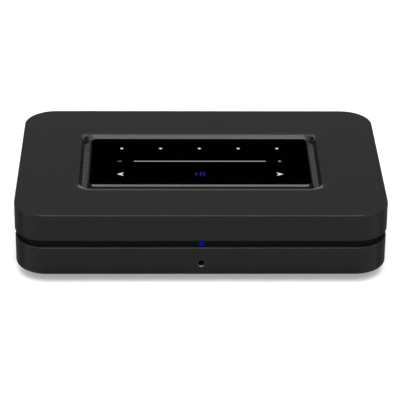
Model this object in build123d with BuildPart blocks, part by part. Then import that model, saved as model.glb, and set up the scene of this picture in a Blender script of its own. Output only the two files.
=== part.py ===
from build123d import *
from math import atan2, degrees, radians, tan
import os

# A network music streamer in millimetres: a flat two-shell case with a sunken touch
# panel in its top, a jack and a lamp in front and a bay of sockets at the rear.
# X runs along the width, Y from the front to the rear and Z up from the table.

# Case, as a stack of heights from the table up
width = 220.0
depth = 146.0
corner_radius = 19.3
foot_stand = 1.5
plinth_height = 5.0
lower_height = 18.1
groove_height = 4.6
upper_height = 16.8

# Case walls and edges
wall = 2.5
floor_thickness = 2.5
top_thickness = 2.5
lower_inset = 0.25
groove_depth = 2.0
plinth_inset = 14.0
plinth_radius = 12.0
top_edge_radius = 0.55
upper_rim_radius = 0.3
lower_rim_radius = 0.3
lower_edge_radius = 1.6
plinth_edge_radius = 0.8

# Clearances, and how far a cut runs past the face that it opens
slip_gap = 0.1
seat_gap = 0.15
overrun = 1.0

# Rubber foot ring and air intake slots of the plinth
foot_margin = 4.0
foot_width = 6.0
foot_channel = 1.0
foot_edge_radius = 0.6
intake_length = 12.0
intake_pitch = 18.0
intake_height = 1.8
intake_count = 8
intake_lift = 0.3

# Tongues of the band between the shells
tongue_height = 2.5
tongue_gap = 0.1

# Screw posts in the case corners
post_side_inset = 11.0
post_end_inset = 13.0
post_radius = 3.5
boss_radius = 4.0
boss_height = 3.5
case_screw_radius = 1.45
case_screw_head_radius = 2.8
case_screw_head_height = 1.8
case_screw_length = 12.0
case_screw_sink = 2.4
screw_gap = 0.05
screw_run_out = 1.5
recess_length = 1.8
recess_width = 0.5
recess_depth = 0.7

# Well in the top, with its sloping side
well_width = 146.4
well_depth = 75.8
well_radius = 8.5
well_slope = 2.3
well_floor_drop = 4.0
well_lip_reach = 2.6
well_lip_drop = 0.4
collar_width = 3.2

# Vent grille on the floor of the well
grille_thickness = 1.0
grille_under_collar = 3.4
slot_pitch = 2.8
slot_along = 1.7
slot_across = 1.9
slot_corner = 0.7

# Touch frame, the raised island in the well
moat_width = 2.5
frame_lift = 3.5
frame_slope = 1.3
frame_radius = 5.0
frame_rim = 0.3
flange_width = 7.6
flange_thickness = 2.0
air_slot_width = 4.0
air_slot_gap = 0.7
air_slot_length = 26.0
air_slot_pitch = 31.0
air_slot_radius = 1.3
air_slot_rows = 4
air_slot_columns = 2
ear_radius = 4.0
ear_reach = 3.0
ear_spread_share = 0.5
ledge_width = 3.2
frame_screw_radius = 1.2
frame_screw_head_radius = 2.3
frame_screw_head_height = 1.5
frame_screw_length = 5.0

# Touch glass, its tape, and the light wells and board under it
glass_thickness = 1.8
glass_radius = 3.4
glass_edge_radius = 0.25
tape_thickness = 0.2
tape_inset = 0.2
tape_width = 2.4
mask_gap = 0.3
mask_side_gap = 0.2
well_hole_radius = 2.2
row_hole_radius = 3.3
touch_board_margin = 4.0
touch_board_radius = 3.0

# Marks that shine through the glass
mark_depth = 0.4
mark_gap = 0.02
top_dot_radius = 0.95
top_dot_pitch = 24.0
top_dot_row = 18.0
slider_length = 80.6
slider_width = 1.2
slider_end_offset = 48.9
sign_length = 2.4
sign_width = 0.55
arrow_row = -17.7
arrow_tip = 50.3
arrow_tail = 46.1
arrow_height = 5.0
arrow_notch = 1.2
play_size = 5.8
play_bar_width = 1.1
play_gap = 0.9

# Circuit boards
board_thickness = 1.6
board_clearance = 0.6
board_corner = 2.0
board_post_radius = 2.75
board_screw_radius = 1.2
board_screw_head_radius = 2.3
board_screw_head_height = 1.5
board_screw_length = 5.0
board_screw_inset = 4.0
main_screw_front = 6.0
main_screw_rear = 5.2
main_screw_side = 5.0
main_screw_sink_front = 14.4
main_screw_sink_rear = 25.0
supply_screw_side = 4.4
supply_screw_front = 3.6
supply_screw_rear = 16.8
front_screw_rear = 3.0
board_split = 3.0
supply_width = 30.5
supply_side_gap = 1.0
supply_front_reach = 4.0
main_side_gap = 2.0
front_board_width = 34.0
front_board_depth = 20.7
front_board_gap = 0.55

# Headphone jack and its bevelled ring
jack_height = 3.0
jack_width = 7.0
jack_body_height = 6.0
jack_length = 14.0
jack_bore_radius = 1.8
jack_bore_depth = 12.5
ring_radius = 2.4
ring_bevel = 0.5
ring_sink = 0.1

# Status lamp behind the groove
lamp_drop = 0.3
lens_radius = 1.6
lens_flange_radius = 2.4
lens_flange_thickness = 0.6
lens_stand = 0.2
lens_tip_radius = 0.15
lamp_board_width = 26.0
lamp_board_height = 8.4
lamp_board_thickness = 1.0
lamp_board_gap = 1.9
lamp_board_top_margin = 1.8
peg_radius = 1.0
peg_shoulder_radius = 1.8
peg_offset = 10.5
peg_lift = 2.7
peg_stand = 0.8
receiver_width = 4.5
receiver_thickness = 1.5
receiver_offset = 5.5

# Rear bay, its tray and the socket plate
tray_side_inset = 20.0
tray_height = 22.5
tray_radius = 2.5
tray_wall = 1.6
bay_depth = 9.25
plate_thickness = 2.0
tab_width = 12.0
tab_height = 8.5
tab_place_share = 0.67
tab_screw_drop = 3.8
panel_boss_radius = 3.2
panel_screw_length = 6.0
socket_stand = 0.6

# Places of the sockets along the main board, as shares of its width
lan_share = 0.94
usb_share = 0.828
hdmi_share = 0.72
rear_jack_shares = (0.636, 0.578, 0.521)
optical_share = 0.447
rca_shares = (0.361, 0.272, 0.182, 0.093)

# Round sockets
rca_lift = 9.0
rca_shell_radius = 4.15
rca_shell_wall = 0.7
rca_length = 9.0
rca_flange_radius = 5.3
rca_flange_thickness = 0.7
rca_contact_radius = 2.1
rca_contact_bore = 1.6
rca_contact_length = 9.5
rca_face_sink = 0.5
rca_body_width = 10.0
rca_body_height = 14.5
rca_body_length = 11.8
rear_jack_width = 7.8
rear_jack_nose_radius = 2.9
rear_jack_bore_depth = 13.0

# Optical output with its sprung shutter
optical_width = 9.8
optical_height = 10.6
optical_length = 14.6
optical_cavity_width = 6.4
optical_cavity_height = 6.6
optical_cavity_depth = 10.0
optical_cavity_lift = 2.0
optical_lens_radius = 1.2
optical_lens_depth = 1.5
shutter_side_gap = 0.2
shutter_thickness = 0.7
shutter_bottom_gap = 0.15
shutter_setback = 1.1
shutter_lip_height = 0.7
shutter_lip_gap = 0.1
hinge_drop = 0.6
hinge_pin_radius = 0.45
hinge_hole_gap = 0.05
hinge_pin_reach = 0.6
hinge_hole_extra = 0.1

# Flat sockets
socket_wall = 0.3
socket_foot_share = 1 / 3
usb_width = 12.5
usb_height = 5.1
usb_lift = 0.8
usb_length = 14.0
usb_tongue_width = 11.1
usb_tongue_height = 1.8
usb_tongue_length = 9.5
hdmi_width = 14.0
hdmi_height = 4.55
hdmi_lift = 0.5
hdmi_length = 13.0
hdmi_tongue_width = 11.0
hdmi_tongue_height = 1.0
hdmi_tongue_length = 7.5
tongue_base_length = 2.0
flat_socket_radius = 0.8
lan_width = 16.0
lan_height = 13.6
lan_length = 18.0
lan_cavity_width = 11.9
lan_cavity_height = 8.0
lan_cavity_depth = 14.0
lan_cavity_lift = 4.2
lan_notch_width = 6.4
lan_notch_height = 2.0
lan_contact_pitch = 1.02
lan_contact_width = 0.4
lan_contact_thickness = 0.35
lan_contact_drop = 0.8
lan_contact_length = 10.5
lan_contact_count = 8

# Mains inlet
inlet_width = 20.0
inlet_height = 13.0
inlet_lift = 2.3
inlet_length = 15.5
inlet_side_gap = 2.5
inlet_cavity_width = 15.6
inlet_cavity_height = 8.6
inlet_cavity_depth = 11.0
inlet_cavity_radius = 4.2
inlet_pin_radius = 1.18
inlet_pin_spacing = 8.6
inlet_pin_length = 9.0
inlet_pin_tip = 0.5

# Parts on the main board, places as shares of the board
sink_place_shares = (0.716, 0.504)
sink_size = 40.0
sink_base = 2.5
sink_height = 14.0
sink_fin_count = 11
sink_fin_thickness = 1.1
chip_size = 19.0
chip_height = 1.4
pad_size = 18.0
pad_thickness = 0.6
shield_place_share = 0.233
shield_width = 50.0
shield_depth = 34.0
shield_height = 8.0
shield_wall = 0.4
shield_radius = 1.5
shield_hole_radius = 0.9
shield_hole_pitch = 7.0
shield_hole_columns = 6
shield_hole_rows = 4
audio_cap_row_shares = (0.09, 0.153, 0.217, 0.281, 0.345)
audio_cap_radius = 3.2
audio_cap_height = 7.7
audio_cap_base = 7.0
audio_cap_base_height = 0.9
wifi_place_share = 0.166
wifi_width = 24.0
wifi_depth = 18.0
wifi_height = 3.0
wifi_radius = 1.0
wifi_stud_radius = 1.0
wifi_stud_height = 1.0
wifi_stud_side = 9.0
wifi_stud_front = 6.5
board_chip_shares = ((0.895, 0.448), (0.895, 0.597), (0.907, 0.746), (0.716, 0.802), (0.62, 0.149))
board_chip_sizes = ((9.0, 12.0), (9.0, 12.0), (7.0, 7.0), (8.0, 8.0), (8.0, 6.0))
board_chip_height = 1.2
touch_chip_place = 20.0
header_width = 16.0
header_depth = 5.0
header_height = 2.5
header_place_shares = (0.473, 0.336)
led_width = 2.0
led_depth = 1.2
led_height = 0.7
slider_led_count = 5

# Ribbons, leads and wires
ribbon_width = 12.0
ribbon_thickness = 0.3
ribbon_sag = 15.5
front_ribbon_width = 8.0
front_header_depth = 2.4
front_ribbon_rise = 6.5
lamp_ribbon_width = 5.0
lamp_ribbon_place = 9.0
lead_radius = 0.6
lead_rise = 11.8
lead_height = 37.0
lead_side_step = 15.0
lead_front_step = 18.5
wire_radius = 0.8
wire_pitch = 2.5
wire_count = 4
wire_rise = 7.0
wire_header_width = 6.0
wire_header_length = 10.0
wire_header_height = 7.0
wire_header_place = 8.0
bend_share = 0.45

# Antennas on the walls of the upper shell
antenna_length = 35.0
antenna_height = 8.0
antenna_thickness = 0.8
antenna_lift = 3.8
side_antenna_middle = -16.0

# Parts of the power supply
supply_edge_gap = 0.7
bulk_cap_radius = 8.0
bulk_cap_height = 22.0
transformer_width = 24.0
transformer_depth = 26.0
transformer_height = 20.0
transformer_base = 4.0
transformer_core = 8.0
transformer_winding_width = 19.0
transformer_winding_height = 13.0
choke_width = 14.0
choke_depth = 12.0
choke_height = 15.0
choke_hole_width = 5.0
choke_hole_height = 6.0
x_cap_width = 6.0
x_cap_depth = 13.0
x_cap_height = 12.0
fuse_radius = 2.6
fuse_length = 14.0
fuse_cap_length = 3.0
fuse_cap_radius = 2.8
fuse_clip_width = 3.4
fuse_clip_height = 3.2
supply_sink_length = 20.0
supply_sink_thickness = 1.6
supply_sink_height = 18.0
supply_sink_fin = 2.2
output_cap_radius = 4.0
output_cap_height = 13.0
cap_edge_radius = 0.5
sheet_thickness = 0.4
sheet_height = 21.0
sheet_gap = 0.9
sheet_front_gap = 18.0
sheet_rear_gap = 15.2
sheet_post_gap = 0.55

# Heights worked out from the stack
plinth_bottom = foot_stand
lower_bottom = plinth_bottom + plinth_height
groove_bottom = lower_bottom + lower_height
groove_top = groove_bottom + groove_height
case_top = groove_top + upper_height
plinth_floor = plinth_bottom + floor_thickness
case_floor = lower_bottom + floor_thickness
ceiling = case_top - top_thickness
board_bottom = case_floor + board_clearance
board_top = board_bottom + board_thickness
well_floor = case_top - well_floor_drop
flange_top = well_floor - grille_thickness
flange_bottom = flange_top - flange_thickness
glass_top = well_floor + frame_lift
glass_bottom = glass_top - glass_thickness
ledge = glass_bottom - tape_thickness

# Outlines worked out from the case
lower_width = width - 2 * lower_inset
lower_depth = depth - 2 * lower_inset
lower_radius = corner_radius - lower_inset
band_width = width - 2 * groove_depth
band_depth = depth - 2 * groove_depth
band_radius = corner_radius - groove_depth
band_inner = wall
plinth_width = width - 2 * plinth_inset
plinth_depth = depth - 2 * plinth_inset
post_x = width / 2 - post_side_inset
post_y = depth / 2 - post_end_inset
post_places = [(x, y) for x in (-post_x, post_x) for y in (-post_y, post_y)]
boss_top = case_floor + boss_height
well_floor_width = well_width - 2 * well_slope
well_floor_depth = well_depth - 2 * well_slope
well_floor_radius = well_radius - well_slope
frame_width = well_floor_width - 2 * moat_width
frame_depth = well_floor_depth - 2 * moat_width
frame_top_width = frame_width - 2 * frame_slope
frame_top_depth = frame_depth - 2 * frame_slope
pocket_width = frame_top_width - 2 * frame_rim
pocket_depth = frame_top_depth - 2 * frame_rim
window_width = pocket_width - 2 * ledge_width
window_depth = pocket_depth - 2 * ledge_width
glass_width = pocket_width - 2 * seat_gap
glass_depth = pocket_depth - 2 * seat_gap

# Rear tray
rear_face = lower_depth / 2
plate_back = rear_face - bay_depth
plate_front = plate_back - plate_thickness
tray_width = width - 2 * tray_side_inset
tray_middle = case_floor + tray_height / 2
socket_face = plate_back + socket_stand

# Board spans along X and Y
board_rear = plate_front - 2 * seat_gap
front_inner = -lower_depth / 2 + wall
front_board_x = (-front_board_width / 2, front_board_width / 2)
front_board_y = (front_inner + front_board_gap, front_inner + front_board_gap + front_board_depth)
supply_right = plinth_width / 2 - supply_side_gap
supply_x = (supply_right - supply_width, supply_right)
sheet_x = (supply_x[0] - sheet_gap - sheet_thickness, supply_x[0] - sheet_gap)
main_x = (-plinth_width / 2 + main_side_gap, sheet_x[0] - sheet_gap + slip_gap)
main_y = (front_board_y[1] + board_split, board_rear)
supply_y = (main_y[0] - supply_front_reach, board_rear)


def span(center, size):
    """The two ends of a size set about its middle."""
    return center - size / 2, center + size / 2


def place(x_span, y_span, shares):
    """A point on a board, from the shares of its width and depth."""
    x = x_span[0] + shares[0] * (x_span[1] - x_span[0])
    y = y_span[0] + shares[1] * (y_span[1] - y_span[0])
    return x, y


def stack(low, high, sizes):
    """The middles of pieces that stand in a row between two ends, with equal gaps."""
    gap = (high - low - sum(sizes)) / (len(sizes) + 1)
    middles = []
    for size in sizes:
        middles.append(low + gap + size / 2)
        low += gap + size
    return middles


def block(x_span, y_span, z_span, mode=Mode.ADD):
    """A block between two corners."""
    spans = (x_span, y_span, z_span)
    sizes = [max(ends) - min(ends) for ends in spans]
    middles = [(ends[0] + ends[1]) / 2 for ends in spans]
    with Locations(tuple(middles)):
        Box(*sizes, mode=mode)


def slab(size_x, size_y, radius, low, high, mode=Mode.ADD, center=(0, 0)):
    """A flat block with rounded corners between two heights."""
    with BuildSketch(Plane.XY.offset(low)) as outline:
        with Locations(center):
            RectangleRounded(size_x, size_y, radius)
    extrude(outline.sketch, amount=high - low, mode=mode)


def ring(size_x, size_y, radius, rim, low, high, mode=Mode.ADD):
    """A rounded rectangular frame, with its rim as wide as given."""
    with BuildSketch(Plane.XY.offset(low)) as outline:
        RectangleRounded(size_x, size_y, radius)
        RectangleRounded(size_x - 2 * rim, size_y - 2 * rim, radius - rim, mode=Mode.SUBTRACT)
    extrude(outline.sketch, amount=high - low, mode=mode)


def taper(low_size, low_radius, high_size, high_radius, low, high, mode=Mode.ADD):
    """A block whose rounded outline changes evenly between two heights."""
    with BuildSketch(Plane.XY.offset(low)) as bottom:
        RectangleRounded(*low_size, low_radius)
    with BuildSketch(Plane.XY.offset(high)) as top:
        RectangleRounded(*high_size, high_radius)
    loft([bottom.sketch.face(), top.sketch.face()], ruled=True, mode=mode)


def rod_z(x, y, radius, low, high, mode=Mode.ADD):
    """An upright round rod."""
    with BuildSketch(Plane.XY.offset(low)) as disc:
        with Locations((x, y)):
            Circle(radius)
    extrude(disc.sketch, amount=high - low, mode=mode)


def rod_y(x, z, radius, front, back, mode=Mode.ADD):
    """A round rod that runs from front to back."""
    with BuildSketch(Plane.XZ.offset(-front)) as disc:
        with Locations((x, z)):
            Circle(radius)
    extrude(disc.sketch, amount=front - back, mode=mode)


def rod_x(y, z, radius, left, right, mode=Mode.ADD):
    """A round rod that runs from left to right."""
    with BuildSketch(Plane.YZ.offset(left)) as disc:
        with Locations((y, z)):
            Circle(radius)
    extrude(disc.sketch, amount=right - left, mode=mode)


def slab_y(x, z, size_x, size_z, radius, front, back, mode=Mode.ADD):
    """An upright block with rounded corners between two depths."""
    with BuildSketch(Plane.XZ.offset(-front)) as outline:
        with Locations((x, z)):
            RectangleRounded(size_x, size_z, radius)
    extrude(outline.sketch, amount=front - back, mode=mode)


def screw(x, y, seat, length, radius, head_radius, head_height, up):
    """A pan head screw on its seat, with its tip up or down."""
    tip = 1 if up else -1
    head_end = seat - tip * head_height
    rod_z(x, y, head_radius, min(seat, head_end), max(seat, head_end))
    rod_z(x, y, radius, min(seat, seat + tip * length), max(seat, seat + tip * length))
    for size_x, size_y in ((recess_length, recess_width), (recess_width, recess_length)):
        floor = head_end + tip * recess_depth
        block(span(x, size_x), span(y, size_y), (head_end, floor), Mode.SUBTRACT)


def bend_radii(points):
    """The widest even arc at each corner of a route, from the shorter run beside it."""
    corners = [Vector(*point) for point in points]
    radii = []
    for before, corner, after in zip(corners, corners[1:], corners[2:]):
        run_in = corner - before
        run_out = after - corner
        half_turn = radians(run_in.get_angle(run_out)) / 2
        radii.append(bend_share * min(run_in.length, run_out.length) / tan(half_turn))
    return radii


def lead(points, radius):
    """A round lead along straight runs joined by arcs."""
    with BuildLine() as route:
        FilletPolyline(*points, radius=bend_radii(points))
    with BuildSketch(Plane(origin=route.line @ 0, z_dir=route.line % 0)) as section:
        Circle(radius)
    sweep(section.sketch, path=route.wire())


def ribbon(points, size):
    """A flat ribbon that lies across X along straight runs joined by arcs."""
    with BuildLine() as route:
        FilletPolyline(*points, radius=bend_radii(points))
    start = Plane(origin=route.line @ 0, x_dir=(1, 0, 0), z_dir=route.line % 0)
    with BuildSketch(start) as section:
        Rectangle(size, ribbon_thickness)
    sweep(section.sketch, path=route.wire())


def save(piece, label):
    """Name a finished piece and write it."""
    piece.part.label = label
    export_step(piece.part, f"parts/{label}.step")


os.makedirs("parts", exist_ok=True)

# Places of the screws that hold the boards
main_screws = [
    (main_x[0] + board_screw_inset, main_y[0] + main_screw_front),
    (main_x[0] + board_screw_inset, main_y[1] - main_screw_rear),
    (main_x[1] - main_screw_sink_front, main_y[0] + main_screw_front),
    (main_x[1] - main_screw_side, main_y[1] - main_screw_sink_rear),
]
supply_screws = [
    (supply_x[0] + board_screw_inset, supply_y[0] + supply_screw_front),
    (supply_x[1] - supply_screw_side, supply_y[0] + supply_screw_front),
    (supply_x[0] + board_screw_inset, supply_y[1] - supply_screw_rear),
    (supply_x[1] - supply_screw_side, supply_y[1] - supply_screw_rear),
]
front_screws = [
    (front_board_x[0] + board_screw_inset, front_board_y[1] - front_screw_rear),
    (front_board_x[1] - board_screw_inset, front_board_y[1] - front_screw_rear),
]
board_screw_places = main_screws + supply_screws + front_screws

# Rows of parts along the two boards, from the front to the rear sockets
rca_body_front = board_rear - rca_body_length
wifi_y, shield_y, audio_cap_y = stack(main_y[0], rca_body_front, [wifi_depth, shield_depth, audio_cap_base])
near_cap_y, far_cap_y, transformer_y, bulk_cap_y, choke_y = stack(
    supply_y[0], socket_face - inlet_length,
    [2 * output_cap_radius, 2 * output_cap_radius, transformer_depth, 2 * bulk_cap_radius, choke_depth],
)

# Heights and places that more than one piece uses
jack_z = board_top + jack_height
lamp_z = (groove_bottom + groove_top) / 2 - lamp_drop
band_front = -band_depth / 2
band_back = band_front + band_inner
lamp_board_front = band_back + lamp_board_gap
lamp_board_back = lamp_board_front + lamp_board_thickness
rca_z = board_top + rca_lift
rca_places = [place(main_x, main_y, (share, 1))[0] for share in rca_shares]
rear_jack_places = [place(main_x, main_y, (share, 1))[0] for share in rear_jack_shares]
lan_x = place(main_x, main_y, (lan_share, 1))[0]
usb_x = place(main_x, main_y, (usb_share, 1))[0]
hdmi_x = place(main_x, main_y, (hdmi_share, 1))[0]
optical_x = place(main_x, main_y, (optical_share, 1))[0]
lan_z = board_top + lan_height / 2
usb_z = board_top + usb_lift + usb_height / 2
hdmi_z = board_top + hdmi_lift + hdmi_height / 2
optical_z = board_top + optical_height / 2
inlet_x = supply_x[0] + inlet_side_gap + inlet_width / 2
inlet_z = board_top + inlet_lift + inlet_height / 2
panel_tab_x = tab_place_share * tray_width / 2
panel_tab_z = case_floor + tray_height + tab_height - tab_screw_drop
flange_ears = [
    (side * (frame_width / 2 + flange_width + ear_reach), 0) for side in (-1, 1)
] + [
    (side * ear_spread_share * frame_width / 2, end * (frame_depth / 2 + flange_width + ear_reach))
    for side in (-1, 1)
    for end in (-1, 1)
]
touch_screw_x = (pocket_width + frame_width) / 4 - ledge_width / 2
touch_screw_y = window_depth / 2 - board_screw_inset / 2
touch_screws = [(x, y) for x in (-touch_screw_x, touch_screw_x) for y in (-touch_screw_y, touch_screw_y)]
top_dots = [(step * top_dot_pitch, top_dot_row) for step in range(-2, 3)]

# Lower shell, one moulding with the plinth under it
with BuildPart() as bottom_case:
    slab(lower_width, lower_depth, lower_radius, lower_bottom, groove_bottom)
    fillet(bottom_case.faces().sort_by(Axis.Z)[0].edges(), lower_edge_radius)
    fillet(bottom_case.faces().sort_by(Axis.Z)[-1].edges(), lower_rim_radius)
    slab(plinth_width, plinth_depth, plinth_radius, plinth_bottom, case_floor)
    fillet(bottom_case.faces().sort_by(Axis.Z)[0].edges(), plinth_edge_radius)
    slab(
        lower_width - 2 * wall, lower_depth - 2 * wall, lower_radius - wall,
        case_floor, groove_bottom + overrun, Mode.SUBTRACT,
    )
    slab(
        plinth_width - 2 * wall, plinth_depth - 2 * wall, plinth_radius - wall,
        plinth_floor, case_floor + overrun, Mode.SUBTRACT,
    )
    ring(
        plinth_width - 2 * foot_margin, plinth_depth - 2 * foot_margin, plinth_radius - foot_margin,
        foot_width, plinth_bottom - overrun, plinth_bottom + foot_channel, Mode.SUBTRACT,
    )
    # Air intake slots, out of sight under the overhang
    intake_top = lower_bottom - intake_lift
    for step in range(intake_count):
        slot_x = (step - (intake_count - 1) / 2) * intake_pitch
        for side in (-1, 1):
            slot_y = side * (plinth_depth / 2 - wall / 2)
            block(
                span(slot_x, intake_length), span(slot_y, wall + 2 * overrun),
                (intake_top - intake_height, intake_top), Mode.SUBTRACT,
            )
    # Bosses that the case screws pass through
    for x, y in post_places:
        rod_z(x, y, boss_radius, lower_bottom, boss_top)
        rod_z(x, y, case_screw_radius + slip_gap, lower_bottom - overrun, boss_top + overrun, Mode.SUBTRACT)
        rod_z(
            x, y, case_screw_head_radius + seat_gap,
            lower_bottom - overrun, lower_bottom + case_screw_sink, Mode.SUBTRACT,
        )
    # Posts under the boards, with holes for their screws
    for x, y in board_screw_places:
        rod_z(x, y, board_post_radius, plinth_floor, board_bottom)
        rod_z(
            x, y, board_screw_radius + screw_gap,
            plinth_floor, board_bottom + overrun, Mode.SUBTRACT,
        )
    # Pads that carry the front board over the outer floor
    for x, y in front_screws:
        pad_y = front_board_y[0] + 2 * board_post_radius
        block(span(x, 2 * board_post_radius), span(pad_y, 2 * board_post_radius), (case_floor, board_bottom))
    # Opening for the rear tray and hole for the headphone jack
    slab_y(
        0, tray_middle, tray_width + 2 * seat_gap, tray_height + 2 * seat_gap, tray_radius + seat_gap,
        rear_face - wall, rear_face + overrun, Mode.SUBTRACT,
    )
    rod_y(0, jack_z, ring_radius + screw_gap, -rear_face - overrun, front_inner + overrun, Mode.SUBTRACT)
save(bottom_case, "bottom_case")

# Rubber ring that the case stands on
with BuildPart() as foot_ring:
    ring(
        plinth_width - 2 * foot_margin, plinth_depth - 2 * foot_margin, plinth_radius - foot_margin,
        foot_width, 0, plinth_bottom + foot_channel,
    )
    chamfer(foot_ring.faces().sort_by(Axis.Z)[0].outer_wire().edges(), foot_edge_radius)
save(foot_ring, "foot_ring")

# Recessed band between the shells, with tongues that locate both
with BuildPart() as mid_band:
    ring(band_width, band_depth, band_radius, band_inner, groove_bottom, groove_top)
    lower_tongue = lower_inset + wall + tongue_gap
    upper_tongue = wall + tongue_gap
    band_rim = groove_depth + band_inner
    ring(
        width - 2 * lower_tongue, depth - 2 * lower_tongue, corner_radius - lower_tongue,
        band_rim - lower_tongue, groove_bottom - tongue_height, groove_bottom,
    )
    ring(
        width - 2 * upper_tongue, depth - 2 * upper_tongue, corner_radius - upper_tongue,
        band_rim - upper_tongue, groove_top, groove_top + tongue_height,
    )
    block(
        span(0, tray_width + 2 * seat_gap), (rear_face - 2 * band_rim, depth / 2 + overrun),
        (groove_bottom - tongue_height - overrun, groove_top + tongue_height + overrun), Mode.SUBTRACT,
    )
    # Lamp hole, and the pegs that hold the lamp board
    for side in (-1, 1):
        rod_y(side * peg_offset, lamp_z + peg_lift, peg_shoulder_radius, band_back, lamp_board_front)
        rod_y(side * peg_offset, lamp_z + peg_lift, peg_radius, lamp_board_front, lamp_board_back + peg_stand)
    rod_y(0, lamp_z, lens_radius + screw_gap, band_front - overrun, band_back + overrun, Mode.SUBTRACT)
save(mid_band, "mid_band")

# Upper shell with the well in its top
with BuildPart() as top_case:
    slab(width, depth, corner_radius, groove_top, case_top)
    fillet(top_case.faces().sort_by(Axis.Z)[-1].edges(), top_edge_radius)
    fillet(top_case.faces().sort_by(Axis.Z)[0].edges(), upper_rim_radius)
    slab(
        width - 2 * wall, depth - 2 * wall, corner_radius - wall,
        groove_top - overrun, ceiling, Mode.SUBTRACT,
    )
    slab(
        well_width + 2 * collar_width, well_depth + 2 * collar_width,
        well_radius + collar_width, well_floor, ceiling,
    )
    taper(
        (well_floor_width, well_floor_depth), well_floor_radius,
        (well_width, well_depth), well_radius, well_floor, case_top, Mode.SUBTRACT,
    )
    # Soft lip that leads down into the well
    lid_face = top_case.faces().sort_by(Axis.Z)[-1]
    chamfer(lid_face.inner_wires()[0].edges(), well_lip_reach, well_lip_drop, reference=lid_face)
    # Corner posts that the case screws bite into
    for x, y in post_places:
        rod_z(x, y, post_radius, boss_top, ceiling)
        pilot_top = lower_bottom + case_screw_sink + case_screw_length + screw_run_out
        rod_z(x, y, case_screw_radius + screw_gap, boss_top - overrun, pilot_top, Mode.SUBTRACT)
    # Bosses for the touch frame
    pilot_top = flange_bottom + frame_screw_length + screw_gap
    for x, y in flange_ears:
        rod_z(x, y, post_radius, flange_top, ceiling)
        rod_z(x, y, frame_screw_radius + screw_gap, flange_top - overrun, pilot_top, Mode.SUBTRACT)
    # Bosses on the rear wall for the socket plate, and the top of its opening
    for side in (-1, 1):
        rod_y(side * panel_tab_x, panel_tab_z, panel_boss_radius, plate_back, depth / 2 - wall)
        rod_y(
            side * panel_tab_x, panel_tab_z, board_screw_radius + screw_gap,
            plate_back - overrun, plate_back + panel_screw_length, Mode.SUBTRACT,
        )
    slab_y(
        0, tray_middle, tray_width + 2 * seat_gap, tray_height + 2 * seat_gap, tray_radius + seat_gap,
        depth / 2 - wall - overrun, depth / 2 + overrun, Mode.SUBTRACT,
    )
save(top_case, "top_case")

# Vent grille, a thin ring with a row of slots round the touch frame
with BuildPart() as vent_grille:
    grille_width = well_floor_width + 2 * grille_under_collar
    grille_depth = well_floor_depth + 2 * grille_under_collar
    grille_rim = grille_under_collar + moat_width - slip_gap
    ring(
        grille_width, grille_depth, well_floor_radius + grille_under_collar,
        grille_rim, flange_top, well_floor,
    )
    with BuildSketch(Plane.XY.offset(flange_top)) as slots:
        row = RectangleRounded(
            well_floor_width - moat_width, well_floor_depth - moat_width,
            well_floor_radius - moat_width / 2, mode=Mode.PRIVATE,
        ).wire()
        slot_count = round(row.length / slot_pitch)
        slot_locations = []
        for step in range(slot_count):
            point = row @ (step / slot_count)
            heading = row % (step / slot_count)
            slot_locations.append(Location((point.X, point.Y), degrees(atan2(heading.Y, heading.X))))
        with Locations(*slot_locations):
            RectangleRounded(slot_along, slot_across, slot_corner)
    extrude(slots.sketch, amount=grille_thickness, mode=Mode.SUBTRACT)
save(vent_grille, "vent_grille")

# Touch frame, the sloped island with a flange under the well
with BuildPart() as touch_frame:
    slab(
        frame_width + 2 * flange_width, frame_depth + 2 * flange_width,
        frame_radius + flange_width, flange_bottom, flange_top,
    )
    for x, y in flange_ears:
        rod_z(x, y, ear_radius, flange_bottom, flange_top)
    slab(frame_width, frame_depth, frame_radius, flange_top, well_floor)
    taper(
        (frame_width, frame_depth), frame_radius,
        (frame_top_width, frame_top_depth), frame_radius - frame_slope, well_floor, glass_top,
    )
    slab(pocket_width, pocket_depth, glass_radius + seat_gap, ledge, glass_top + overrun, Mode.SUBTRACT)
    slab(window_width, window_depth, glass_radius, flange_bottom - overrun, ledge + overrun, Mode.SUBTRACT)
    # Air passages under the grille
    air_x = frame_width / 2 + air_slot_gap + air_slot_width / 2
    air_y = frame_depth / 2 + air_slot_gap + air_slot_width / 2
    for side in (-1, 1):
        for step in range(air_slot_rows):
            along = (step - (air_slot_rows - 1) / 2) * air_slot_pitch
            slab(
                air_slot_length, air_slot_width, air_slot_radius, flange_bottom - overrun,
                flange_top, Mode.SUBTRACT, (along, side * air_y),
            )
        for step in range(air_slot_columns):
            along = (step - (air_slot_columns - 1) / 2) * air_slot_pitch
            slab(
                air_slot_width, air_slot_length, air_slot_radius, flange_bottom - overrun,
                flange_top, Mode.SUBTRACT, (side * air_x, along),
            )
    for x, y in flange_ears:
        hole_radius = frame_screw_radius + slip_gap
        rod_z(x, y, hole_radius, flange_bottom - overrun, flange_top + overrun, Mode.SUBTRACT)
    for x, y in touch_screws:
        pilot_top = flange_bottom + board_screw_length - board_thickness + screw_gap
        rod_z(x, y, board_screw_radius + screw_gap, flange_bottom - overrun, pilot_top, Mode.SUBTRACT)
save(touch_frame, "touch_frame")


def arrow(side, gap):
    """A skip arrow with a notched tail, pointing to one side."""
    tip = side * (arrow_tip - 2 * gap)
    tail = side * (arrow_tail + gap)
    notch = side * (arrow_tail + arrow_notch + gap)
    half = arrow_height / 2 - 2 * gap
    high = arrow_row + half
    low = arrow_row - half
    with BuildLine() as edge:
        Polyline((tip, arrow_row), (tail, high), (notch, arrow_row), (tail, low), (tip, arrow_row))
    make_face(edge.edges())


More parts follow.
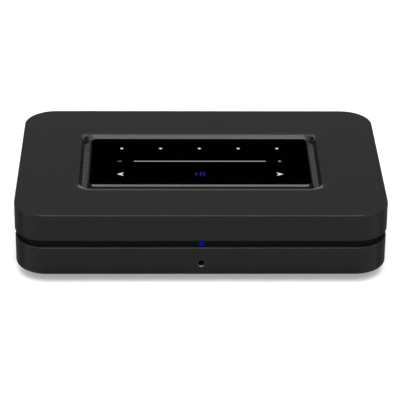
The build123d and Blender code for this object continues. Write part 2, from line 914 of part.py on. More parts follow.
def white_marks(low, gap):
    """Sketch of the white marks at a height, each drawn in by a gap."""
    with BuildSketch(Plane.XY.offset(low)) as marks:
        with Locations(*top_dots):
            Circle(top_dot_radius - gap)
        Rectangle(slider_length - 2 * gap, slider_width - 2 * gap)
        # Minus at the left end of the slider and plus at its right end
        with Locations((-slider_end_offset, 0), (slider_end_offset, 0)):
            Rectangle(sign_length - 2 * gap, sign_width - 2 * gap)
        with Locations((slider_end_offset, 0)):
            Rectangle(sign_width - 2 * gap, sign_length - 2 * gap)
        arrow(-1, gap)
        arrow(1, gap)
    return marks.sketch


def play_marks(low, gap):
    """Sketch of the play triangle and pause bars at a height."""
    with BuildSketch(Plane.XY.offset(low)) as marks:
        left = -play_size / 2 + gap
        tip = play_size / 2 - 2 * play_bar_width - 2 * play_gap - 2 * gap
        half = play_size / 2 - 2 * gap
        high = arrow_row + half
        with BuildLine() as edge:
            Polyline((left, high), (tip, arrow_row), (left, arrow_row - half), (left, high))
        make_face(edge.edges())
        for bar in (0, 1):
            middle = play_size / 2 - play_bar_width / 2 - bar * (play_bar_width + play_gap)
            with Locations((middle, arrow_row)):
                Rectangle(play_bar_width - 2 * gap, play_size - 2 * gap)
    return marks.sketch


# Glass plate of the touch panel, with shallow seats for the marks
with BuildPart() as touch_glass:
    slab(glass_width, glass_depth, glass_radius, glass_bottom, glass_top)
    fillet(touch_glass.faces().sort_by(Axis.Z)[-1].edges(), glass_edge_radius)
    mark_floor = glass_top - mark_depth
    extrude(white_marks(mark_floor, 0), amount=mark_depth + overrun, mode=Mode.SUBTRACT)
    extrude(play_marks(mark_floor, 0), amount=mark_depth + overrun, mode=Mode.SUBTRACT)
save(touch_glass, "touch_glass")

# Translucent marks set flush in the glass
with BuildPart() as white_icons:
    extrude(white_marks(mark_floor, mark_gap), amount=mark_depth)
save(white_icons, "white_icons")

with BuildPart() as play_icon:
    extrude(play_marks(mark_floor, mark_gap), amount=mark_depth)
save(play_icon, "play_icon")

# Adhesive tape that holds the glass on its ledge
with BuildPart() as glass_tape:
    ring(
        pocket_width - 2 * tape_inset, pocket_depth - 2 * tape_inset, glass_radius,
        tape_width, ledge, glass_bottom,
    )
save(glass_tape, "glass_tape")

# Light mask, a black block with a light well under each mark
mask_top = glass_bottom - mask_gap
row_wells = top_dots + [(side * slider_end_offset, 0) for side in (-1, 1)]
row_wells += [(side * (arrow_tip + arrow_tail) / 2, arrow_row) for side in (-1, 1)]
row_wells += [(0, arrow_row)]
slider_leds = [
    ((step / (slider_led_count - 1) - 1 / 2) * (slider_length - 2 * well_hole_radius), 0)
    for step in range(slider_led_count)
]
with BuildPart() as light_mask:
    slab(
        window_width - 2 * mask_side_gap, window_depth - 2 * mask_side_gap,
        glass_radius - mask_side_gap, flange_bottom, mask_top,
    )
    for x, y in row_wells:
        rod_z(x, y, row_hole_radius, flange_bottom - overrun, mask_top + overrun, Mode.SUBTRACT)
    slab(
        slider_length + well_hole_radius, 2 * well_hole_radius, well_hole_radius - slip_gap,
        flange_bottom - overrun, mask_top + overrun, Mode.SUBTRACT,
    )
save(light_mask, "light_mask")

# Touch board, screwed up against the frame
touch_board_bottom = flange_bottom - board_thickness
with BuildPart() as touch_board:
    slab(
        window_width + 2 * touch_board_margin, window_depth + 2 * touch_board_margin,
        touch_board_radius, touch_board_bottom, flange_bottom,
    )
    for x, y in touch_screws:
        rod_z(
            x, y, board_screw_radius + slip_gap,
            touch_board_bottom - overrun, flange_bottom + overrun, Mode.SUBTRACT,
        )
save(touch_board, "touch_board")

# Lamps of the marks on the touch board, and the status lamp behind its lens
with BuildPart() as indicator_leds:
    for x, y in row_wells + slider_leds:
        block(span(x, led_width), span(y, led_depth), (flange_bottom, flange_bottom + led_height))
    block(
        span(0, led_width), (lamp_board_front - led_height, lamp_board_front), span(lamp_z, led_depth),
    )
save(indicator_leds, "indicator_leds")

# Case screws, from below into the corner posts
with BuildPart() as case_screws:
    for x, y in post_places:
        screw(
            x, y, lower_bottom + case_screw_sink, case_screw_length, case_screw_radius,
            case_screw_head_radius, case_screw_head_height, True,
        )
save(case_screws, "case_screws")

# Screws that hold the touch frame up to the top case
with BuildPart() as frame_screws:
    for x, y in flange_ears:
        screw(
            x, y, flange_bottom, frame_screw_length, frame_screw_radius,
            frame_screw_head_radius, frame_screw_head_height, True,
        )
save(frame_screws, "frame_screws")

# Board screws, up into the touch frame and down into the posts of the lower shell
with BuildPart() as board_screws:
    for x, y in touch_screws:
        screw(
            x, y, touch_board_bottom, board_screw_length, board_screw_radius,
            board_screw_head_radius, board_screw_head_height, True,
        )
    for x, y in board_screw_places:
        screw(
            x, y, board_top, board_screw_length, board_screw_radius,
            board_screw_head_radius, board_screw_head_height, False,
        )
save(board_screws, "board_screws")


def board(x_span, y_span, screws):
    """A circuit board with clearance holes for its screws."""
    center = ((x_span[0] + x_span[1]) / 2, (y_span[0] + y_span[1]) / 2)
    slab(
        x_span[1] - x_span[0], y_span[1] - y_span[0], board_corner,
        board_bottom, board_top, center=center,
    )
    for x, y in screws:
        rod_z(x, y, board_screw_radius + slip_gap, board_bottom - overrun, board_top + overrun, Mode.SUBTRACT)


with BuildPart() as main_board:
    board(main_x, main_y, main_screws)
save(main_board, "main_board")

with BuildPart() as supply_board:
    board(supply_x, supply_y, supply_screws)
save(supply_board, "supply_board")

with BuildPart() as front_board:
    board(front_board_x, front_board_y, front_screws)
save(front_board, "front_board")

# Headphone jack, with its bore through the front
jack_front = front_board_y[0]
with BuildPart() as headphone_jack:
    block(
        span(0, jack_width), (jack_front, jack_front + jack_length),
        (board_top, board_top + jack_body_height),
    )
    rod_y(0, jack_z, jack_bore_radius, jack_front - overrun, jack_front + jack_bore_depth, Mode.SUBTRACT)
save(headphone_jack, "headphone_jack")

# Bevelled metal ring round the jack's mouth
with BuildPart() as jack_ring:
    ring_front = -rear_face + ring_sink
    rod_y(0, jack_z, ring_radius, ring_front, jack_front)
    rod_y(0, jack_z, jack_bore_radius + screw_gap, ring_front - overrun, jack_front + overrun, Mode.SUBTRACT)
    mouth = jack_ring.faces().sort_by(Axis.Y)[0].inner_wires()[0].edges()
    chamfer(mouth, ring_bevel - screw_gap)
save(jack_ring, "jack_ring")

# Status lamp's lens, pressed into the band from inside
with BuildPart() as status_lens:
    rod_y(0, lamp_z, lens_radius, band_front - lens_stand, band_back + lens_flange_thickness)
    rod_y(0, lamp_z, lens_flange_radius, band_back, band_back + lens_flange_thickness)
    fillet(status_lens.faces().sort_by(Axis.Y)[0].edges(), lens_tip_radius)
save(status_lens, "status_lens")

# Small upright board behind the band, with the remote control receiver
with BuildPart() as lamp_board:
    lamp_board_low = lamp_z + peg_lift + lamp_board_top_margin - lamp_board_height
    block(
        span(0, lamp_board_width), (lamp_board_front, lamp_board_back),
        (lamp_board_low, lamp_board_low + lamp_board_height),
    )
    for side in (-1, 1):
        rod_y(
            side * peg_offset, lamp_z + peg_lift, peg_radius + screw_gap,
            lamp_board_front - overrun, lamp_board_back + overrun, Mode.SUBTRACT,
        )
save(lamp_board, "lamp_board")

with BuildPart() as remote_receiver:
    block(
        span(-receiver_offset, receiver_width), (lamp_board_front - receiver_thickness, lamp_board_front),
        span(lamp_z, receiver_width),
    )
save(remote_receiver, "remote_receiver")

# Tray of the rear bay, with the plate that the sockets pass through
with BuildPart() as rear_panel:
    slab_y(0, tray_middle, tray_width, tray_height, tray_radius, plate_front, rear_face)
    slab_y(
        0, tray_middle, tray_width - 2 * tray_wall, tray_height - 2 * tray_wall, tray_radius - tray_wall,
        plate_back, rear_face + overrun, Mode.SUBTRACT,
    )
    for side in (-1, 1):
        block(
            span(side * panel_tab_x, tab_width), (plate_front, plate_back),
            (case_floor + tray_height - tray_radius, case_floor + tray_height + tab_height),
        )
        rod_y(
            side * panel_tab_x, panel_tab_z, board_screw_radius + slip_gap,
            plate_front - overrun, plate_back + overrun, Mode.SUBTRACT,
        )
    cut = (plate_front - overrun, plate_back + overrun)
    for x in rca_places:
        rod_y(x, rca_z, rca_shell_radius + slip_gap, *cut, Mode.SUBTRACT)
    for x in rear_jack_places:
        rod_y(x, jack_z, rear_jack_nose_radius + slip_gap, *cut, Mode.SUBTRACT)
    flat_sockets = (
        (lan_x, lan_z, lan_width, lan_height),
        (usb_x, usb_z, usb_width + 2 * socket_wall, usb_height + 2 * socket_wall),
        (hdmi_x, hdmi_z, hdmi_width + 2 * socket_wall, hdmi_height + 2 * socket_wall),
        (optical_x, optical_z, optical_width, optical_height),
        (inlet_x, inlet_z, inlet_width, inlet_height),
    )
    for x, z, size_x, size_z in flat_sockets:
        block(span(x, size_x + 2 * seat_gap), cut, span(z, size_z + 2 * seat_gap), Mode.SUBTRACT)
save(rear_panel, "rear_panel")

# Screws of the rear panel, from inside into the top case
with BuildPart() as panel_screws:
    for side in (-1, 1):
        x = side * panel_tab_x
        head_front = plate_front - board_screw_head_height
        rod_y(x, panel_tab_z, board_screw_head_radius, head_front, plate_front)
        rod_y(x, panel_tab_z, board_screw_radius, plate_front, plate_front + panel_screw_length)
        for size_x, size_z in ((recess_length, recess_width), (recess_width, recess_length)):
            cut = (head_front, head_front + recess_depth)
            block(span(x, size_x), cut, span(panel_tab_z, size_z), Mode.SUBTRACT)
save(panel_screws, "panel_screws")

# Phono sockets: bodies with their insulators, metal shells and centre contacts
rca_shell_end = plate_back + rca_length
with BuildPart() as phono_bodies:
    for x in rca_places:
        block(
            span(x, rca_body_width), (rca_body_front, board_rear),
            (board_top, board_top + rca_body_height),
        )
        inner = rca_shell_radius - rca_shell_wall - screw_gap
        rod_y(x, rca_z, inner, board_rear, rca_shell_end - rca_face_sink)
        rod_y(
            x, rca_z, rca_contact_radius + screw_gap,
            rca_shell_end - rca_contact_length, rca_shell_end, Mode.SUBTRACT,
        )
save(phono_bodies, "phono_bodies")

with BuildPart() as phono_shells:
    for x in rca_places:
        rod_y(x, rca_z, rca_shell_radius, board_rear, rca_shell_end)
        rod_y(x, rca_z, rca_flange_radius, plate_back, plate_back + rca_flange_thickness)
        rod_y(
            x, rca_z, rca_shell_radius - rca_shell_wall,
            board_rear - overrun, rca_shell_end + overrun, Mode.SUBTRACT,
        )
save(phono_shells, "phono_shells")

with BuildPart() as phono_contacts:
    for x in rca_places:
        contact_front = rca_shell_end - rca_contact_length
        rod_y(x, rca_z, rca_contact_radius, contact_front, rca_shell_end - rca_face_sink)
        rod_y(x, rca_z, rca_contact_bore, contact_front + rca_shell_wall, rca_shell_end, Mode.SUBTRACT)
save(phono_contacts, "phono_contacts")

# Three small jacks: trigger output, remote input and audio input
with BuildPart() as rear_jacks:
    for x in rear_jack_places:
        block(
            span(x, rear_jack_width), (rca_body_front, board_rear),
            (board_top, board_top + jack_body_height),
        )
        rod_y(x, jack_z, rear_jack_nose_radius, board_rear, socket_face)
        rod_y(
            x, jack_z, jack_bore_radius,
            socket_face - rear_jack_bore_depth, socket_face + overrun, Mode.SUBTRACT,
        )
save(rear_jacks, "rear_jacks")

# Optical output's housing, hollow behind its shutter
optical_floor = board_top + optical_cavity_lift
hinge_y = socket_face - shutter_setback
hinge_z = optical_floor + optical_cavity_height - hinge_drop
cavity_x = span(optical_x, optical_cavity_width)
with BuildPart() as optical_socket:
    block(
        span(optical_x, optical_width), (socket_face - optical_length, socket_face),
        (board_top, board_top + optical_height),
    )
    block(
        cavity_x, (socket_face - optical_cavity_depth, socket_face + overrun),
        (optical_floor, optical_floor + optical_cavity_height), Mode.SUBTRACT,
    )
    # Low lip that stops the closed shutter
    block(
        cavity_x, (hinge_y + shutter_thickness / 2 + shutter_lip_gap, socket_face),
        (optical_floor, optical_floor + shutter_lip_height),
    )
    hole_reach = hinge_pin_reach + hinge_hole_extra
    rod_x(
        hinge_y, hinge_z, hinge_pin_radius + hinge_hole_gap,
        cavity_x[0] - hole_reach, cavity_x[1] + hole_reach, Mode.SUBTRACT,
    )
    lens_z = optical_floor + (hinge_z - optical_floor) / 2
    lens_back = socket_face - optical_cavity_depth
    rod_y(
        optical_x, lens_z, optical_lens_radius,
        lens_back - optical_lens_depth, lens_back + overrun, Mode.SUBTRACT,
    )
save(optical_socket, "optical_socket")

# Shutter of the optical output, hinged at its top
with BuildPart() as optical_shutter:
    block(
        span(optical_x, optical_cavity_width - 2 * shutter_side_gap), span(hinge_y, shutter_thickness),
        (optical_floor + shutter_bottom_gap, hinge_z),
    )
    rod_x(hinge_y, hinge_z, hinge_pin_radius, cavity_x[0] - hinge_pin_reach, cavity_x[1] + hinge_pin_reach)
save(optical_shutter, "optical_shutter")


def flat_socket(x, z, size_x, size_z, length):
    """A folded metal socket shell, open at the rear."""
    outer_x = size_x + 2 * socket_wall
    outer_z = size_z + 2 * socket_wall
    slab_y(x, z, outer_x, outer_z, flat_socket_radius, socket_face - length, socket_face)
    slab_y(
        x, z, size_x, size_z, flat_socket_radius - socket_wall,
        socket_face - length + socket_wall, socket_face + overrun, Mode.SUBTRACT,
    )


def tongue(x, z, size_x, size_z, cavity, length, socket_length):
    """An insulating base inside a socket, with the tongue that carries its contacts."""
    back = socket_face - socket_length + socket_wall
    base = back + tongue_base_length
    slab_y(
        x, z, cavity[0] - 2 * slip_gap, cavity[1] - 2 * slip_gap,
        flat_socket_radius - socket_wall, back, base,
    )
    block(span(x, size_x), (base, base + length), span(z, size_z))


with BuildPart() as usb_socket:
    flat_socket(usb_x, usb_z, usb_width, usb_height, usb_length)
    # Feet that stand on the board
    for side in (-1, 1):
        foot_x = usb_x + side * usb_width * socket_foot_share
        block(
            span(foot_x, 2 * socket_wall), span(socket_face - usb_length / 2, usb_height),
            (board_top, board_top + usb_lift - socket_wall / 2),
        )
save(usb_socket, "usb_socket")

with BuildPart() as hdmi_socket:
    flat_socket(hdmi_x, hdmi_z, hdmi_width, hdmi_height, hdmi_length)
    for side in (-1, 1):
        foot_x = hdmi_x + side * hdmi_width * socket_foot_share
        block(
            span(foot_x, 2 * socket_wall), span(socket_face - hdmi_length / 2, hdmi_height),
            (board_top, board_top + hdmi_lift - socket_wall / 2),
        )
save(hdmi_socket, "hdmi_socket")

with BuildPart() as contact_tongues:
    tongue(
        usb_x, usb_z, usb_tongue_width, usb_tongue_height,
        (usb_width, usb_height), usb_tongue_length, usb_length,
    )
    tongue(
        hdmi_x, hdmi_z, hdmi_tongue_width, hdmi_tongue_height,
        (hdmi_width, hdmi_height), hdmi_tongue_length, hdmi_length,
    )
save(contact_tongues, "contact_tongues")

# Network socket with its eight contacts
lan_floor = board_top + lan_cavity_lift
lan_back = socket_face - lan_cavity_depth
with BuildPart() as network_socket:
    block(
        span(lan_x, lan_width), (socket_face - lan_length, socket_face),
        (board_top, board_top + lan_height),
    )
    block(
        span(lan_x, lan_cavity_width), (lan_back, socket_face + overrun),
        (lan_floor, lan_floor + lan_cavity_height), Mode.SUBTRACT,
    )
    block(
        span(lan_x, lan_notch_width), (lan_back, socket_face + overrun),
        (lan_floor - lan_notch_height, lan_floor + slip_gap), Mode.SUBTRACT,
    )
save(network_socket, "network_socket")

with BuildPart() as network_contacts:
    contact_top = lan_floor + lan_cavity_height - lan_contact_drop
    for step in range(lan_contact_count):
        x = lan_x + (step - (lan_contact_count - 1) / 2) * lan_contact_pitch
        block(
            span(x, lan_contact_width), (lan_back, lan_back + lan_contact_length),
            (contact_top - lan_contact_thickness, contact_top),
        )
save(network_contacts, "network_contacts")

# Mains inlet with its two pins
inlet_floor = socket_face - inlet_cavity_depth
with BuildPart() as mains_inlet:
    block(
        span(inlet_x, inlet_width), (socket_face - inlet_length, socket_face), span(inlet_z, inlet_height),
    )
    block(
        span(inlet_x, inlet_width), (socket_face - inlet_length, plate_front - seat_gap),
        (board_top, inlet_z),
    )
    slab_y(
        inlet_x, inlet_z, inlet_cavity_width, inlet_cavity_height, inlet_cavity_radius,
        inlet_floor, socket_face + overrun, Mode.SUBTRACT,
    )
save(mains_inlet, "mains_inlet")

with BuildPart() as mains_pins:
    for side in (-1, 1):
        x = inlet_x + side * inlet_pin_spacing / 2
        rod_y(x, inlet_z, inlet_pin_radius, inlet_floor, inlet_floor + inlet_pin_length)
    fillet(mains_pins.faces().group_by(Axis.Y)[-1].edges(), inlet_pin_tip)
save(mains_pins, "mains_pins")


def chip(x, y, size_x, size_y, low, high):
    """A flat electronic package on a board."""
    block(span(x, size_x), span(y, size_y), (min(low, high), max(low, high)))


# Processor with its thermal pad and finned heat sink
sink_x, sink_y = place(main_x, main_y, sink_place_shares)
pad_bottom = board_top + chip_height
sink_bottom = pad_bottom + pad_thickness
with BuildPart() as processor:
    chip(sink_x, sink_y, chip_size, chip_size, board_top, pad_bottom)
save(processor, "processor")

with BuildPart() as thermal_pad:
    chip(sink_x, sink_y, pad_size, pad_size, pad_bottom, sink_bottom)
save(thermal_pad, "thermal_pad")

with BuildPart() as heat_sink:
    chip(sink_x, sink_y, sink_size, sink_size, sink_bottom, sink_bottom + sink_base)
    fin_pitch = (sink_size - sink_fin_thickness) / (sink_fin_count - 1)
    with Locations((sink_x, sink_y, sink_bottom + sink_height / 2)):
        with GridLocations(fin_pitch, 0, sink_fin_count, 1):
            Box(sink_fin_thickness, sink_size, sink_height)
save(heat_sink, "heat_sink")

# Chips on the main board, the converter under the shield and the touch controller
shield_x = place(main_x, main_y, (shield_place_share, 1))[0]
with BuildPart() as board_chips:
    for shares, size in zip(board_chip_shares, board_chip_sizes):
        chip(*place(main_x, main_y, shares), *size, board_top, board_top + board_chip_height)
    for side in (-1, 1):
        converter_x = shield_x + side * shield_width / 4
        chip(converter_x, shield_y, *board_chip_sizes[2], board_top, board_top + board_chip_height)
    chip(
        touch_chip_place, 0, *board_chip_sizes[3],
        touch_board_bottom - board_chip_height, touch_board_bottom,
    )
save(board_chips, "board_chips")

# Metal can over the audio converter, with vent holes in its lid
with BuildPart() as audio_shield:
    slab(
        shield_width, shield_depth, shield_radius, board_top, board_top + shield_height,
        center=(shield_x, shield_y),
    )
    slab(
        shield_width - 2 * shield_wall, shield_depth - 2 * shield_wall, shield_radius - shield_wall,
        board_top - overrun, board_top + shield_height - shield_wall, Mode.SUBTRACT, (shield_x, shield_y),
    )
    with BuildSketch(Plane.XY.offset(board_top + shield_height - 2 * shield_wall)) as vents:
        with Locations((shield_x, shield_y)):
            with GridLocations(shield_hole_pitch, shield_hole_pitch, shield_hole_columns, shield_hole_rows):
                Circle(shield_hole_radius)
    extrude(vents.sketch, amount=2 * shield_wall + overrun, mode=Mode.SUBTRACT)
save(audio_shield, "audio_shield")


def capacitor(x, y, radius, height, low):
    """An electrolytic can with a rounded top edge."""
    with BuildSketch(Plane.XZ.offset(-y)) as half:
        with BuildLine() as edge:
            Polyline(
                (x, low), (x + radius, low), (x + radius, low + height - cap_edge_radius),
                (x + radius - cap_edge_radius, low + height), (x, low + height), (x, low),
            )
        make_face(edge.edges())
    revolve(half.sketch, axis=Axis((x, y, 0), (0, 0, 1)))


# Audio capacitors in a row, each on its moulded base
with BuildPart() as audio_capacitors:
    for share in audio_cap_row_shares:
        x = place(main_x, main_y, (share, 1))[0]
        base_top = board_top + audio_cap_base_height
        chip(x, audio_cap_y, audio_cap_base, audio_cap_base, board_top, base_top)
        capacitor(x, audio_cap_y, audio_cap_radius, audio_cap_height - audio_cap_base_height, base_top)
save(audio_capacitors, "audio_capacitors")

# Wireless module with the two studs that its antenna leads push onto
wifi_x = place(main_x, main_y, (wifi_place_share, 1))[0]
stud_top = board_top + wifi_height + wifi_stud_height
side_stud = (wifi_x - wifi_stud_side, wifi_y)
front_stud = (wifi_x, wifi_y - wifi_stud_front)
with BuildPart() as wireless_module:
    slab(
        wifi_width, wifi_depth, wifi_radius, board_top, board_top + wifi_height,
        center=(wifi_x, wifi_y),
    )
    for x, y in (side_stud, front_stud):
        rod_z(x, y, wifi_stud_radius, board_top + wifi_height, stud_top)
save(wireless_module, "wireless_module")

# Two flat antennas stuck to the walls of the upper shell
side_wall = -width / 2 + wall
front_wall = -depth / 2 + wall
antenna_low = groove_top + antenna_lift
antenna_high = antenna_low + antenna_height
with BuildPart() as antennas:
    block(
        (side_wall, side_wall + antenna_thickness), span(side_antenna_middle, antenna_length),
        (antenna_low, antenna_high),
    )
    block(
        span(front_stud[0], antenna_length), (front_wall, front_wall + antenna_thickness),
        (antenna_low, antenna_high),
    )
save(antennas, "antennas")

with BuildPart() as antenna_leads:
    turn = stud_top + lead_rise
    side_end = side_wall + antenna_thickness
    front_end = front_wall + antenna_thickness
    lead(
        [
            (*side_stud, stud_top), (*side_stud, turn),
            (side_stud[0] - lead_side_step, side_antenna_middle, lead_height),
            (side_end, side_antenna_middle, lead_height),
        ],
        lead_radius,
    )
    lead(
        [
            (*front_stud, stud_top), (*front_stud, turn),
            (front_stud[0], front_stud[1] - lead_front_step, lead_height),
            (front_stud[0], front_end, lead_height),
        ],
        lead_radius,
    )
save(antenna_leads, "antenna_leads")

# Headers that the ribbons and the supply wires plug into
touch_header = place(main_x, main_y, header_place_shares)
front_header_y = front_board_y[1] - front_header_depth
main_header_y = main_y[0] + board_split
lamp_header_y = lamp_board_back + front_header_depth / 2
lamp_header_low = lamp_z - lamp_board_height / 3
wire_y = main_y[0] + wire_header_place
main_wire_x = main_x[1] - wire_header_width - slip_gap
supply_wire_x = supply_x[0] + wire_header_width - slip_gap
header_top = board_top + header_height
with BuildPart() as cable_headers:
    chip(*touch_header, header_width, header_depth, board_top, header_top)
    chip(*touch_header, header_width, header_depth, touch_board_bottom - header_height, touch_board_bottom)
    for y in (front_header_y, main_header_y):
        chip(0, y, front_ribbon_width + header_height, front_header_depth, board_top, header_top)
    chip(
        lamp_ribbon_place, lamp_header_y, lamp_ribbon_width + header_height, front_header_depth,
        board_top, header_top,
    )
    chip(
        lamp_ribbon_place, lamp_header_y, lamp_ribbon_width + header_height, front_header_depth,
        lamp_header_low, lamp_header_low + header_height,
    )
    for x in (main_wire_x, supply_wire_x):
        chip(x, wire_y, wire_header_width, wire_header_length, board_top, board_top + wire_header_height)
save(cable_headers, "cable_headers")

# Flat ribbons: touch board to main board, front board to main board, lamp to front board
with BuildPart() as flat_ribbons:
    mouth_y = touch_header[1] - header_depth / 2
    low_z = board_top + header_height / 2
    high_z = touch_board_bottom - header_height / 2
    sag_y = mouth_y - ribbon_sag
    touch_route = [(mouth_y, high_z), (sag_y, high_z), (sag_y, low_z), (mouth_y, low_z)]
    ribbon([(touch_header[0], y, z) for y, z in touch_route], ribbon_width)
    rise = header_top + front_ribbon_rise
    front_route = [
        (front_header_y, header_top), (front_header_y, rise),
        (main_header_y, rise), (main_header_y, header_top),
    ]
    ribbon([(0, y, z) for y, z in front_route], front_ribbon_width)
    block(
        span(lamp_ribbon_place, lamp_ribbon_width), span(lamp_header_y, ribbon_thickness),
        (header_top, lamp_header_low),
    )
save(flat_ribbons, "flat_ribbons")

# Supply wires from the power board to the main board, over the sheet between them
with BuildPart() as supply_wires:
    wire_low = board_top + wire_header_height
    for step in range(wire_count):
        y = wire_y + (step - (wire_count - 1) / 2) * wire_pitch
        lead(
            [
                (main_wire_x, y, wire_low), (main_wire_x, y, wire_low + wire_rise),
                (supply_wire_x, y, wire_low + wire_rise), (supply_wire_x, y, wire_low),
            ],
            wire_radius,
        )
save(supply_wires, "supply_wires")

# Power supply parts: fuse, bulk capacitor and filter capacitor stand side by side
fuse_x = supply_x[0] + supply_edge_gap + fuse_cap_radius
x_cap_x = supply_x[1] - supply_edge_gap - x_cap_width / 2
bulk_cap_x = (fuse_x + fuse_cap_radius + x_cap_x - x_cap_width / 2) / 2
near_cap_x = supply_wire_x + wire_header_width / 2 + supply_edge_gap + output_cap_radius
far_cap_x = supply_x[1] - supply_edge_gap - output_cap_radius
with BuildPart() as bulk_capacitor:
    capacitor(bulk_cap_x, bulk_cap_y, bulk_cap_radius, bulk_cap_height, board_top)
save(bulk_capacitor, "bulk_capacitor")

with BuildPart() as output_capacitors:
    for x, y in ((near_cap_x, near_cap_y), (near_cap_x, far_cap_y), (far_cap_x, far_cap_y)):
        capacitor(x, y, output_cap_radius, output_cap_height, board_top)
save(output_capacitors, "output_capacitors")

# Transformer: bobbin base, winding and the core round it
with BuildPart() as transformer:
    x, y = supply_x[0] + supply_edge_gap + transformer_width / 2, transformer_y
    core_low = board_top + transformer_base
    chip(x, y, transformer_width, transformer_depth, board_top, core_low)
    chip(x, y, transformer_core, transformer_depth, core_low, board_top + transformer_height)
    slab(
        transformer_width, transformer_winding_width, transformer_base / 2, core_low,
        core_low + transformer_winding_height, center=(x, y),
    )
save(transformer, "transformer")

with BuildPart() as mains_choke:
    x = (supply_screws[0][0] + supply_screws[1][0]) / 2
    chip(x, choke_y, choke_width, choke_depth, board_top, board_top + choke_height)
    for side in (-1, 1):
        block(
            span(x + side * choke_width / 4, choke_hole_width), span(choke_y, choke_depth + 2 * overrun),
            span(board_top + choke_height / 2, choke_hole_height), Mode.SUBTRACT,
        )
save(mains_choke, "mains_choke")

with BuildPart() as filter_capacitor:
    chip(x_cap_x, bulk_cap_y, x_cap_width, x_cap_depth, board_top, board_top + x_cap_height)
    fillet(filter_capacitor.faces().sort_by(Axis.Z)[-1].edges(), cap_edge_radius)
save(filter_capacitor, "filter_capacitor")

# Glass fuse with metal caps, in two clips
with BuildPart() as mains_fuse:
    fuse_z = board_top + fuse_clip_height
    rod_y(fuse_x, fuse_z, fuse_radius, *span(bulk_cap_y, fuse_length))
    for side in (-1, 1):
        cap_y = bulk_cap_y + side * (fuse_length - fuse_cap_length) / 2
        rod_y(fuse_x, fuse_z, fuse_cap_radius, *span(cap_y, fuse_cap_length))
        block(span(fuse_x, fuse_clip_width), span(cap_y, fuse_cap_length), (board_top, fuse_z))
save(mains_fuse, "mains_fuse")

# Heat sink of the supply, a plate with three fins beside the transformer
with BuildPart() as supply_heat_sink:
    sink_end = board_top + supply_sink_height
    plate_right = supply_x[1] - supply_edge_gap
    plate_left = plate_right - supply_sink_thickness
    block((plate_left, plate_right), span(transformer_y, supply_sink_length), (board_top, sink_end))
    fin_x = (plate_left - supply_sink_fin, plate_left)
    for side in (-1, 0, 1):
        fin_y = transformer_y + side * (supply_sink_length - supply_sink_thickness) / 2
        block(fin_x, span(fin_y, supply_sink_thickness), (board_top, sink_end))
save(supply_heat_sink, "supply_heat_sink")

# Insulating sheet, folded up between the power board and the main board
with BuildPart() as insulation_sheet:
    sheet_bottom = case_floor + slip_gap
    sheet_y = (supply_y[0] + sheet_front_gap, supply_y[1] - sheet_rear_gap)
    block(sheet_x, sheet_y, (sheet_bottom, sheet_bottom + sheet_height))
    block((sheet_x[0], supply_x[1]), sheet_y, (sheet_bottom, sheet_bottom + sheet_thickness))
    for x, y in supply_screws:
        rod_z(
            x, y, board_post_radius + sheet_post_gap,
            sheet_bottom - overrun, sheet_bottom + sheet_thickness + overrun, Mode.SUBTRACT,
        )
save(insulation_sheet, "insulation_sheet")
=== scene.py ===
# %% [markdown]
# This file dresses a network music streamer: a flat black case with a sunken touch panel in
# its top, a jack and a lamp in front and a bay of sockets at the rear. The shapes come from
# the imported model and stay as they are. Here every surface gets its finish, the coloured
# rings of the phono sockets are added, and the studio and its camera are set. All lengths
# are in metres, and MM turns a millimetre into them. X, Y and Z pick a coordinate: X runs
# along the front to the right, Y from the front to the rear, and Z up.

# %% Load the model
import math

import bmesh
import bpy
from mathutils import Matrix, Vector


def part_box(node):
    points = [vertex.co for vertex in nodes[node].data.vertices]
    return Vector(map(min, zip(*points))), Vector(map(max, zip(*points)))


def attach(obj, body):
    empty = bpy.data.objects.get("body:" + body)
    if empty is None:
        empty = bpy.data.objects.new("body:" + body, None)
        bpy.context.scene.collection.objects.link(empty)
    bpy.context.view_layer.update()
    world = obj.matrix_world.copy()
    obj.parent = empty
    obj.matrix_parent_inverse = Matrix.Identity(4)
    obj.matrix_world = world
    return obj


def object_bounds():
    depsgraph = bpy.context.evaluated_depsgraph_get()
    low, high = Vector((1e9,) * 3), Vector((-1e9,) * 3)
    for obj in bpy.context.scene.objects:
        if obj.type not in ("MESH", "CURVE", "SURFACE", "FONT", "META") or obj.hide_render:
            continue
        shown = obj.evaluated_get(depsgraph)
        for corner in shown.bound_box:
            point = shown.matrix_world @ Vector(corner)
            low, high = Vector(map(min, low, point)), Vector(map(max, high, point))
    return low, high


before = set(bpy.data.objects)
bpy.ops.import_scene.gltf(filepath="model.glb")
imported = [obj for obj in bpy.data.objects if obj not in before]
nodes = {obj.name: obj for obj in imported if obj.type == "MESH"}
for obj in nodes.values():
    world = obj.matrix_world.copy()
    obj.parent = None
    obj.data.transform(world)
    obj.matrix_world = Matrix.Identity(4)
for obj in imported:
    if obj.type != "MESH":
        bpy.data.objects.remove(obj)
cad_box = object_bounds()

MM = 0.001
X = 0
Y = 1
Z = 2

# %% [markdown]
# The camera is a product photographer's: low in front of the case, with a long lens, so that
# the sides stay almost parallel. Its place, its tilt and its lens follow from the outline of
# the case. A long lens far away was chosen over a short one near by, because the rear edge
# of the lid looks nearly as wide as the front one. The matrix is built from three angles in
# radians and the lens isn't shifted, so the same camera can turn round the object. The lens
# and its sensor are in millimetres, as they are on a camera.

# %% Camera
EYE = Vector((-21.512, -1125.567, 594.407)) * MM
YAW = 0.0194
PITCH = 0.4726
ROLL = 0.009
FOCAL_LENGTH = 184.3
SENSOR_WIDTH = 36.0

forward = Vector((
    math.sin(YAW) * math.cos(PITCH), math.cos(YAW) * math.cos(PITCH), -math.sin(PITCH),
))
level = Vector((math.cos(YAW), -math.sin(YAW), 0))
upright = level.cross(forward)
right = level * math.cos(ROLL) + upright * math.sin(ROLL)
up = upright * math.cos(ROLL) - level * math.sin(ROLL)

